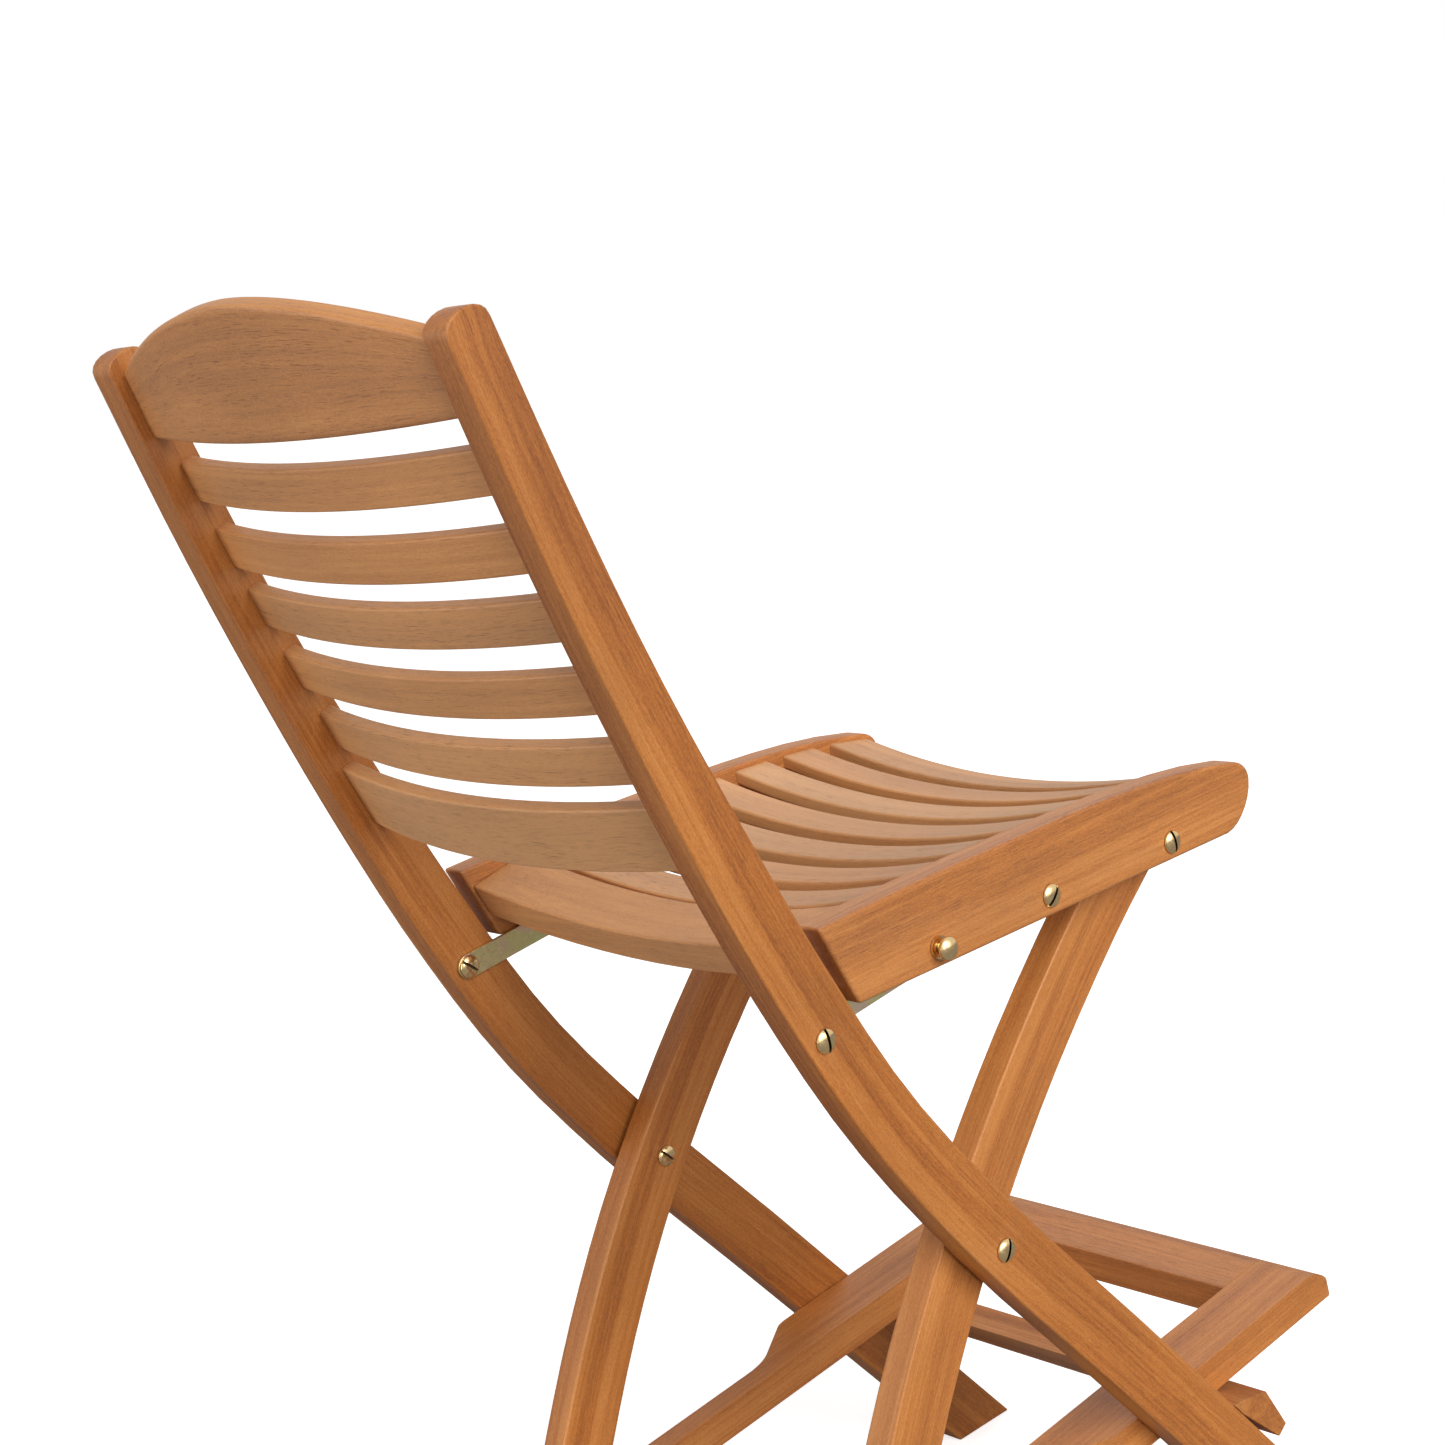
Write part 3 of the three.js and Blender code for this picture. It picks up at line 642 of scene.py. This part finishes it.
def slat_tree():
    """A bowed board: a rounded bar with its grain stored, then bowed, arched and placed."""
    if "bowed_slat" in bpy.data.node_groups:
        return bpy.data.node_groups["bowed_slat"]
    tree, given = new_tree("bowed_slat", [
        ("Span", "Float"), ("Width", "Float"), ("Thickness", "Float"), ("Bow", "Float"), ("Arch", "Float"),
        ("Arch power", "Float"), ("Edge radius", "Float"), ("Tone", "Float"), ("Grain origin", "Vector"),
        ("Origin", "Vector"), ("Turn", "Vector"), ("Material", "Material"),
    ])
    half = math_node(tree, "MULTIPLY", given["Span"], 0.5)
    start = put(tree, "ShaderNodeCombineXYZ", [math_node(tree, "MULTIPLY", half, -1.0)]).outputs[0]
    end = put(tree, "ShaderNodeCombineXYZ", [half]).outputs[0]
    line = put(tree, "GeometryNodeCurvePrimitiveLine", {"Start": start, "End": end}).outputs[0]
    line = put(tree, "GeometryNodeResampleCurve", {"Curve": line, "Count": 49}).outputs[0]
    line = put(tree, "GeometryNodeSetCurveNormal", {"Curve": line}, mode="Z_UP").outputs[0]
    section = put(tree, "GeometryNodeCurvePrimitiveQuadrilateral",
                  {"Width": given["Thickness"], "Height": given["Width"]}).outputs[0]
    section = put(tree, "GeometryNodeFilletCurve",
                  {"Curve": section, "Radius": given["Edge radius"], "Count": 4}, mode="POLY").outputs[0]
    bar = put(tree, "GeometryNodeCurveToMesh", {"Curve": line, "Profile Curve": section,
                                                "Fill Caps": True}).outputs[0]
    place = put(tree, "GeometryNodeInputPosition").outputs[0]
    grain = vector_node(tree, "ADD", place, given["Grain origin"])
    bar = put(tree, "GeometryNodeStoreNamedAttribute", {"Geometry": bar, "Name": "grain", "Value": grain},
              data_type="FLOAT_VECTOR", domain="POINT").outputs[0]
    bar = put(tree, "GeometryNodeStoreNamedAttribute",
              {"Geometry": bar, "Name": "tone", "Value": given["Tone"]},
              data_type="FLOAT", domain="POINT").outputs[0]

    x, y, z = put(tree, "ShaderNodeSeparateXYZ", [place]).outputs
    off = math_node(tree, "ABSOLUTE", math_node(tree, "DIVIDE", x, half))
    bow = math_node(tree, "SUBTRACT", 1.0, math_node(tree, "MULTIPLY", off, off))
    rise = math_node(tree, "SUBTRACT", 1.0, math_node(tree, "POWER", off, given["Arch power"]))
    share = math_node(tree, "ADD", math_node(tree, "DIVIDE", z, given["Width"]), 0.5)
    lift = math_node(tree, "MULTIPLY", math_node(tree, "MULTIPLY", rise, share), given["Arch"])
    drop = math_node(tree, "MULTIPLY", math_node(tree, "MULTIPLY", bow, given["Bow"]), -1.0)
    shift = put(tree, "ShaderNodeCombineXYZ", [0.0, drop, lift]).outputs[0]
    bar = put(tree, "GeometryNodeSetPosition", {"Geometry": bar, "Offset": shift}).outputs[0]
    turn = put(tree, "FunctionNodeEulerToRotation", [given["Turn"]]).outputs[0]
    bar = put(tree, "GeometryNodeTransform", {"Geometry": bar, "Translation": given["Origin"],
                                              "Rotation": turn}).outputs[0]
    end_tree(tree, bar, given["Material"])
    return tree


def slat_frame(node, up_hint):
    """Size and place of a bowed slat, read from its CAD node's square ends and its middle."""
    points = np.array([v.co for v in frame["nodes"][node].data.vertices])
    reach = points[:, 0].max()

    def section(at):
        return np.unique(np.round(points[np.abs(points[:, 0] - at) < 1e-5][:, 1:], 6), axis=0)

    corners = section(reach)
    if len(corners) != 4:
        raise RuntimeError(f"{node} has {len(corners)} corners at its end")
    ordered = sorted(corners, key=lambda p: math.atan2(*(p - corners.mean(0))[::-1]))
    sides = [ordered[(i + 1) % 4] - ordered[i] for i in range(4)]
    longest = max(sides[:2], key=np.linalg.norm)
    shortest = min(sides[:2], key=np.linalg.norm)
    width, thickness = float(np.linalg.norm(longest)), float(np.linalg.norm(shortest))
    thick = Vector((0, *shortest)).normalized()
    if thick.dot(Vector(up_hint)) < 0:
        thick.negate()
    wide = Vector((0, *longest)).normalized()
    if wide.z < 0:
        wide.negate()
    middle = section(0.0)
    centre = Vector((0, *corners.mean(0)))
    heights = [Vector((0, *p)) - centre for p in middle]
    low = min(h.dot(thick) for h in heights)
    bow = -(low + thickness / 2)
    arch = max(h.dot(wide) for h in heights) - width / 2
    turn = Matrix((thick.cross(wide), thick, wide)).transposed().to_euler()
    return {"Span": 2 * float(reach), "Width": width, "Thickness": thickness, "Bow": float(bow),
            "Arch": float(max(arch, 0.0)), "Origin": centre, "Turn": Vector(turn)}


def slat_piece(node, up_hint, radius, tone, origin, arch_power=2.0):
    values = slat_frame(node, up_hint)
    values.update({"Arch power": arch_power, "Edge radius": radius, "Tone": tone,
                   "Grain origin": Vector(origin), "Material": teak()})
    mesh = grown(node + "_board", slat_tree(), values)
    piece = finished(node + "_board", mesh, body_of(node), [node])
    check_fit(piece, node)
    return piece


class CHAIR_OT_back_slats(bpy.types.Operator):
    """Makes the five narrow slats and the wide lower slat of the back"""

    bl_idname = "chair.back_slats"
    bl_label = "Back slats"

    def execute(self, context):
        radius = context.scene.chair_edges.slat
        for i, tone in enumerate(BACK_SLAT_TONES):
            slat_piece(f"back_slat_{i + 1}", FORWARD, radius, tone, (31.0 + 1.3 * i, 0.37 * i, 0.21 * i))
        slat_piece("lower_back_slat", FORWARD, radius, LOWER_SLAT_TONE, (41.0, 2.4, 1.1))
        return {"FINISHED"}


class CHAIR_OT_crest_rail(bpy.types.Operator):
    """Makes the arched rail at the top of the back"""

    bl_idname = "chair.crest_rail"
    bl_label = "Crest rail"

    def execute(self, context):
        radius = 1.2 * context.scene.chair_edges.slat
        slat_piece("crest_rail", FORWARD, radius, CREST_TONE, (44.0, 0.9, 1.6), arch_power=1.8)
        return {"FINISHED"}


class CHAIR_OT_seat_slats(bpy.types.Operator):
    """Makes the seven dished slats of the seat"""

    bl_idname = "chair.seat_slats"
    bl_label = "Seat slats"

    def execute(self, context):
        radius = context.scene.chair_edges.slat
        for i, tone in enumerate(SEAT_SLAT_TONES):
            slat_piece(f"seat_slat_{i + 1}", UP, radius, tone, (48.0 + 1.1 * i, 0.29 * i, 0.53 * i))
        return {"FINISHED"}


# ---------------------------------------------------------------- brass and link bars
def points_mesh(name, rows):
    """One point for each row (place, facing, turn), with its facing and turn stored."""
    mesh = bpy.data.meshes.new(name)
    mesh.from_pydata([place for place, _, _ in rows], [], [])
    facing = mesh.attributes.new("facing", "FLOAT_VECTOR", "POINT")
    facing.data.foreach_set("vector", [v for _, way, _ in rows for v in way])
    turn = mesh.attributes.new("turn", "FLOAT", "POINT")
    turn.data.foreach_set("value", [angle for _, _, angle in rows])
    return mesh


def set_out(tree, points, shape):
    """Copies of a shape at points, each turned to its facing and then about it."""
    facing = put(tree, "GeometryNodeInputNamedAttribute", ["facing"], data_type="FLOAT_VECTOR").outputs[0]
    turn = put(tree, "GeometryNodeInputNamedAttribute", ["turn"], data_type="FLOAT").outputs[0]
    aligned = put(tree, "FunctionNodeAlignRotationToVector", {"Vector": facing}, axis="Z").outputs[0]
    about = put(tree, "FunctionNodeAxisAngleToRotation", {"Axis": (0, 0, 1), "Angle": turn}).outputs[0]
    rotation = put(tree, "FunctionNodeRotateRotation", {"Rotation": aligned, "Rotate By": about},
                   rotation_space="LOCAL").outputs[0]
    return put(tree, "GeometryNodeInstanceOnPoints", {"Points": points, "Instance": shape,
                                                      "Rotation": rotation}).outputs[0]


def joined(tree, operation, first, *others):
    """Union, intersection or difference of solids in a tree."""
    node = put(tree, "GeometryNodeMeshBoolean", operation=operation, solver="EXACT")
    if operation == "DIFFERENCE":
        tree.links.new(first, node.inputs["Mesh 1"])
        rest = others
    else:
        rest = (first, *others)
    for solid in rest:
        tree.links.new(solid, node.inputs["Mesh 2"])
    return node.outputs[0]


def drum(tree, radius, low, high, sides=40):
    """A closed cylinder about Z between two heights."""
    tall = math_node(tree, "SUBTRACT", high, low)
    shape = put(tree, "GeometryNodeMeshCylinder",
                {"Vertices": sides, "Radius": radius, "Depth": tall}).outputs[0]
    middle = math_node(tree, "MULTIPLY", math_node(tree, "ADD", high, low), 0.5)
    shift = put(tree, "ShaderNodeCombineXYZ", [0.0, 0.0, middle]).outputs[0]
    return put(tree, "GeometryNodeTransform", {"Geometry": shape, "Translation": shift}).outputs[0]


def dome(tree, radius, rise, base, sides=40):
    """A flattened ball with its middle at a height. What is below is cut off where it is used."""
    ball = put(tree, "GeometryNodeMeshUVSphere",
               {"Segments": sides, "Rings": 20, "Radius": 1.0}).outputs[0]
    scale = put(tree, "ShaderNodeCombineXYZ", [radius, radius, rise]).outputs[0]
    shift = put(tree, "ShaderNodeCombineXYZ", [0.0, 0.0, base]).outputs[0]
    return put(tree, "GeometryNodeTransform",
               {"Geometry": ball, "Translation": shift, "Scale": scale}).outputs[0]


def bolt_tree():
    """Slotted dome heads, each with its barrel, at points on a surface."""
    if "slotted_heads" in bpy.data.node_groups:
        return bpy.data.node_groups["slotted_heads"]
    tree, given = new_tree("slotted_heads", [
        ("Head radius", "Float"), ("Head rise", "Float"), ("Rim", "Float"), ("Slot width", "Float"),
        ("Slot depth", "Float"), ("Shank radius", "Float"), ("Shank length", "Float"),
        ("Material", "Material"),
    ])
    ball = dome(tree, given["Head radius"], math_node(tree, "SUBTRACT", given["Head rise"], given["Rim"]),
                given["Rim"])
    wide = math_node(tree, "MULTIPLY", given["Head radius"], PAST_HEAD)
    cap = joined(tree, "INTERSECT", ball, drum(tree, wide, given["Rim"], given["Head rise"]))
    rim = drum(tree, given["Head radius"], 0.0, math_node(tree, "ADD", given["Rim"], RIM_OVERLAP))
    behind = math_node(tree, "MULTIPLY", given["Shank length"], -1.0)
    shank = drum(tree, given["Shank radius"], behind, OVERLAP)
    bolt = joined(tree, "UNION", cap, rim, shank)
    length = math_node(tree, "MULTIPLY", wide, 2.0)
    height = math_node(tree, "MULTIPLY", given["Slot depth"], 2.0)
    size = put(tree, "ShaderNodeCombineXYZ", [length, given["Slot width"], height]).outputs[0]
    cutter = put(tree, "GeometryNodeMeshCube", {"Size": size}).outputs[0]
    shift = put(tree, "ShaderNodeCombineXYZ", [0.0, 0.0, given["Head rise"]]).outputs[0]
    cutter = put(tree, "GeometryNodeTransform", {"Geometry": cutter, "Translation": shift}).outputs[0]
    bolt = joined(tree, "DIFFERENCE", bolt, cutter)
    end_tree(tree, set_out(tree, given["Geometry"], bolt), given["Material"])
    return tree


def stud_tree():
    """Stand-off studs: a collar, a neck and a rounded head, with a shank behind."""
    if "stand_off_studs" in bpy.data.node_groups:
        return bpy.data.node_groups["stand_off_studs"]
    tree, given = new_tree("stand_off_studs", [
        ("Collar radius", "Float"), ("Collar height", "Float"), ("Neck radius", "Float"),
        ("Stand-off", "Float"), ("Head radius", "Float"), ("Head rise", "Float"),
        ("Shank radius", "Float"), ("Shank length", "Float"), ("Material", "Material"),
    ])
    collar = drum(tree, given["Collar radius"], 0.0, given["Collar height"])
    neck = drum(tree, given["Neck radius"], OVERLAP, math_node(tree, "ADD", given["Stand-off"], OVERLAP))
    ball = dome(tree, given["Head radius"], given["Head rise"], given["Stand-off"])
    wide = math_node(tree, "MULTIPLY", given["Head radius"], PAST_HEAD)
    under = math_node(tree, "SUBTRACT", given["Stand-off"], UNDER_HEAD)
    top = math_node(tree, "ADD", given["Stand-off"], given["Head rise"])
    cap = joined(tree, "INTERSECT", ball, drum(tree, wide, under, top))
    behind = math_node(tree, "MULTIPLY", given["Shank length"], -1.0)
    shank = drum(tree, given["Shank radius"], behind, OVERLAP)
    stud = joined(tree, "UNION", collar, neck, cap, shank)
    end_tree(tree, set_out(tree, given["Geometry"], stud), given["Material"])
    return tree


def ring_tree():
    """Turned rings with eased edges, standing on points."""
    if "turned_rings" in bpy.data.node_groups:
        return bpy.data.node_groups["turned_rings"]
    tree, given = new_tree("turned_rings", [
        ("Inner radius", "Float"), ("Outer radius", "Float"), ("Thickness", "Float"),
        ("Edge radius", "Float"), ("Material", "Material"),
    ])
    mean = math_node(tree, "ADD", given["Inner radius"], given["Outer radius"])
    mean = math_node(tree, "MULTIPLY", mean, 0.5)
    wall = math_node(tree, "SUBTRACT", given["Outer radius"], given["Inner radius"])
    loop = put(tree, "GeometryNodeCurvePrimitiveCircle", {"Resolution": 48, "Radius": mean}).outputs[0]
    loop = put(tree, "GeometryNodeSetCurveNormal", {"Curve": loop}, mode="Z_UP").outputs[0]
    section = put(tree, "GeometryNodeCurvePrimitiveQuadrilateral",
                  {"Width": wall, "Height": given["Thickness"]}).outputs[0]
    section = put(tree, "GeometryNodeFilletCurve",
                  {"Curve": section, "Radius": given["Edge radius"], "Count": 3}, mode="POLY").outputs[0]
    shape = put(tree, "GeometryNodeCurveToMesh", {"Curve": loop, "Profile Curve": section}).outputs[0]
    end_tree(tree, set_out(tree, given["Geometry"], shape), given["Material"])
    return tree


def head_rows(nodes):
    """Points under dome heads, each where its node is widest. Each entry is (node, faces_out, turn)."""
    rows = []
    for node, faces_out, turn in nodes:
        low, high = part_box(node)
        points = np.array([v.co for v in frame["nodes"][node].data.vertices])
        centre = Vector(((low.x + high.x) / 2, (low.y + high.y) / 2, (low.z + high.z) / 2))
        outward = math.copysign(1.0, centre.x)
        way = outward if faces_out else -outward
        radius = (high.y - low.y) / 2
        off = np.hypot(points[:, 1] - centre.y, points[:, 2] - centre.z)
        seats = points[off > 0.95 * radius][:, 0]
        rows.append(((float(seats.mean()), centre.y, centre.z), (way, 0.0, 0.0), turn))
    return rows


def node_radius(node):
    low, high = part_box(node)
    return (high.y - low.y) / 2


def heads(name, nodes, rise, shank):
    """One mesh of slotted heads for the nodes, which are all on one body."""
    look = setting("chair_brass")
    names = [node for node, _, _ in nodes]
    values = {"Head radius": node_radius(names[0]), "Head rise": rise, "Rim": HEAD_RIM,
              "Slot width": look.slot_width, "Slot depth": look.slot_depth, "Shank radius": look.shank,
              "Shank length": shank, "Material": brass()}
    mesh = grown(name, bolt_tree(), values, points_mesh(name + "_points", head_rows(nodes)))
    return finished(name, mesh, body_of(names[0]), names, BRASS_CORNER)


class CHAIR_OT_bolts(bpy.types.Operator):
    """Makes the slotted brass heads of every pivot"""

    bl_idname = "chair.bolts"
    bl_label = "Pivot bolts"

    def execute(self, context):
        full, flat = 4.2 * MM, 3.2 * MM
        heads("frame_bolt_heads", [
            ("back_link_nut_right", True, 0.05), ("back_link_nut_left", True, -0.4),
            ("back_link_screw_right", False, 1.2), ("back_link_screw_left", False, 0.8),
            ("cross_nut_right", True, -0.45), ("cross_nut_left", True, 0.3),
        ], full, BARREL)
        heads("cross_inner_heads", [
            ("cross_screw_right", False, 0.2), ("cross_screw_left", False, 0.7),
        ], full, BARREL)
        heads("seat_bolt_heads", [
            ("leg_top_nut_right", True, 0.12), ("leg_top_nut_left", True, 0.2),
            ("leg_top_screw_right", False, -0.5), ("leg_top_screw_left", False, 1.1),
            ("seat_link_bolt_right", True, -0.75), ("seat_link_bolt_left", True, -0.9),
        ], full, BARREL)
        heads("footrest_bolt_heads", [
            ("footrest_nut_right", True, 0.3), ("footrest_nut_left", True, -0.2),
        ], flat, BARREL)
        heads("footrest_inner_heads", [
            ("footrest_screw_right", False, 0.9), ("footrest_screw_left", False, 0.4),
        ], full, BARREL)
        heads("link_inner_heads", [
            ("seat_link_head_right", False, 0.5), ("seat_link_head_left", False, -0.3),
        ], full, 3 * MM)
        return {"FINISHED"}


class CHAIR_OT_studs(bpy.types.Operator):
    """Makes the two stand-off studs on the seat rails"""

    bl_idname = "chair.studs"
    bl_label = "Stop studs"

    def execute(self, context):
        nodes = [f"stop_stud_{side}" for side in SIDES]
        rows = []
        for node in nodes:
            low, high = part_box(node)
            rail_low, rail_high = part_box(node.replace("stop_stud_", "") + "_seat_rail")
            outward = math.copysign(1.0, low.x)
            face = (rail_high.x if outward > 0 else rail_low.x) + outward * COLLAR_GAP
            rows.append(((face, (low.y + high.y) / 2, (low.z + high.z) / 2), (outward, 0.0, 0.0), 0.0))
        values = {"Collar radius": 8.6 * MM, "Collar height": 2.2 * MM, "Neck radius": 4.2 * MM,
                  "Stand-off": 9.5 * MM, "Head radius": 9.0 * MM, "Head rise": 4.6 * MM,
                  "Shank radius": 3.9 * MM, "Shank length": 28.0 * MM, "Material": brass()}
        mesh = grown("stand_off_studs", stud_tree(), values, points_mesh("stud_points", rows))
        finished("stand_off_studs", mesh, "seat", nodes, BRASS_CORNER)
        return {"FINISHED"}


class CHAIR_OT_rings(bpy.types.Operator):
    """Makes the brass spacers and washers between moving boards"""

    bl_idname = "chair.rings"
    bl_label = "Spacers and washers"

    def execute(self, context):
        for kind in ("cross_spacer", "leg_top_spacer", "footrest_washer"):
            nodes = [f"{kind}_{side}" for side in SIDES]
            low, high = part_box(nodes[0])
            rows = []
            for node in nodes:
                near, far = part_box(node)
                rows.append((tuple((near + far) / 2), ACROSS, 0.0))
            values = {"Inner radius": 4.85 * MM, "Outer radius": node_radius(nodes[0]),
                      "Thickness": high.x - low.x, "Edge radius": 0.5 * MM, "Material": brass()}
            mesh = grown(kind + "s", ring_tree(), values, points_mesh(kind + "_points", rows))
            finished(kind + "s", mesh, body_of(nodes[0]), nodes, RING_CORNER)
        return {"FINISHED"}


class CHAIR_OT_link_bars(bpy.types.Operator):
    """Makes the two plated bars that tie the seat to the posts"""

    bl_idname = "chair.link_bars"
    bl_label = "Link bars"

    def execute(self, context):
        for side in SIDES:
            node = f"{side}_link_bar"
            mesh = as_mesh(eased_board(node, 0.5 * MM), node + "_plate")
            mesh.materials.append(zinc())
            finished(node + "_plate", mesh, body_of(node), [node])
        return {"FINISHED"}


# ---------------------------------------------------------------- stage
def aim(data, place, target):
    """Puts a light in the scene, facing its target."""
    light = bpy.data.objects.new(data.name, data)
    light.location = place
    light.rotation_euler = (Vector(place) - Vector(target)).to_track_quat("Z", "Y").to_euler()
    bpy.context.scene.collection.objects.link(light)


def panel(name, place, target, size, power):
    data = bpy.data.lights.new(name, "AREA")
    data.shape = "DISK"
    data.size = size
    data.energy = power
    aim(data, place, target)


class CHAIR_OT_stage(bpy.types.Operator):
    """Sets the floor, the lights, the surround and the camera"""

    bl_idname = "chair.stage"
    bl_label = "Stage"

    def execute(self, context):
        stage = context.scene.chair_stage
        corners = [(x * FLOOR_REACH, y * FLOOR_REACH, 0) for x, y in ((-1, -1), (1, -1), (1, 1), (-1, 1))]
        mesh = bpy.data.meshes.new("studio_floor")
        mesh.from_pydata(corners, [], [(0, 1, 2, 3)])
        material, tree, shader = new_material("studio_floor")
        seen = put(tree, "ShaderNodeLightPath").outputs["Is Camera Ray"]
        given_back = (stage.bounce,) * 3
        tree.links.new(mixed(tree, seen, given_back, stage.floor), shader.inputs["Base Color"])
        tree.links.new(math_node(tree, "MULTIPLY", seen, stage.glow), shader.inputs["Emission Strength"])
        shader.inputs["Emission Color"].default_value = (1.0, 1.0, 1.0, 1.0)
        shader.inputs["Roughness"].default_value = 0.85
        shader.inputs["Specular IOR Level"].default_value = 0.2
        mesh.materials.append(material)
        linked("studio_floor", mesh)

        world = bpy.data.worlds.new("studio_surround")
        world.use_nodes = True
        tree = world.node_tree
        tree.nodes.clear()
        seen = put(tree, "ShaderNodeLightPath").outputs["Is Camera Ray"]
        mirrored = put(tree, "ShaderNodeLightPath").outputs["Is Glossy Ray"]
        strength = ranged(tree, seen, 0.0, 1.0, stage.sky, 1.0)
        strength = math_node(tree, "MULTIPLY_ADD", mirrored, 0.60, strength)
        back = put(tree, "ShaderNodeBackground", {"Color": (1.0, 1.0, 1.0, 1.0), "Strength": strength})
        put(tree, "ShaderNodeOutputWorld", {"Surface": back.outputs[0]})
        context.scene.world = world
        context.scene.view_settings.view_transform = "Standard"

        sun = bpy.data.lights.new("sun", "SUN")
        sun.energy = stage.sun
        sun.angle = stage.softness
        aim(sun, (-3.0, 0.7, 2.55), LIT_POINT)
        panel("back_panel", (1.3, 3.2, 1.3), LIT_POINT, 2.6, 0.9 * stage.panel)
        panel("side_panel", (-3.4, -0.9, 1.5), LIT_POINT, 1.8, 0.3 * stage.panel)
        panel("front_panel", (1.6, -2.2, 3.0), LIT_POINT, 2.0, 0.4 * stage.panel)

        data = bpy.data.cameras.new("camera")
        data.sensor_width = 36.0
        data.lens = stage.lens
        camera = bpy.data.objects.new("camera", data)
        pivot = Vector(next(j["pos_m"] for j in frame["joints"] if j["name"] == "link_hinge"))
        camera.matrix_world = (Matrix.Translation(pivot + Vector(CAMERA_PLACE))
                               @ Matrix(CAMERA_AXES).transposed().to_4x4())
        context.scene.collection.objects.link(camera)
        context.scene.camera = camera
        return {"FINISHED"}


# ---------------------------------------------------------------- add-on
OPERATORS = (CHAIR_OT_stage, CHAIR_OT_posts, CHAIR_OT_inner_legs, CHAIR_OT_seat_rails,
             CHAIR_OT_stretchers, CHAIR_OT_footrest, CHAIR_OT_crest_rail, CHAIR_OT_back_slats,
             CHAIR_OT_seat_slats, CHAIR_OT_rear_slat, CHAIR_OT_link_bars, CHAIR_OT_bolts,
             CHAIR_OT_studs, CHAIR_OT_rings)


class CHAIR_PT_panel(bpy.types.Panel):
    """The chair's pieces, in the order they are made"""

    bl_idname = "CHAIR_PT_panel"
    bl_label = "Folding High Chair"
    bl_space_type = "VIEW_3D"
    bl_region_type = "UI"
    bl_category = "Chair"

    def draw(self, context):
        for operator in OPERATORS:
            self.layout.operator(operator.bl_idname)
        for name, group in SETTINGS.items():
            box = self.layout.box()
            box.label(text=group.__doc__)
            for key in group.__annotations__:
                box.prop(getattr(context.scene, name), key)


def register():
    for kind in (*SETTINGS.values(), *OPERATORS, CHAIR_PT_panel):
        bpy.utils.register_class(kind)
    for name, group in SETTINGS.items():
        setattr(bpy.types.Scene, name, PointerProperty(type=group))


def unregister():
    for name in SETTINGS:
        delattr(bpy.types.Scene, name)
    for kind in reversed((*SETTINGS.values(), *OPERATORS, CHAIR_PT_panel)):
        bpy.utils.unregister_class(kind)


def main():
    register()
    for operator in OPERATORS:
        group, name = operator.bl_idname.split(".")
        getattr(getattr(bpy.ops, group), name)()


if __name__ == "__main__":
    main()
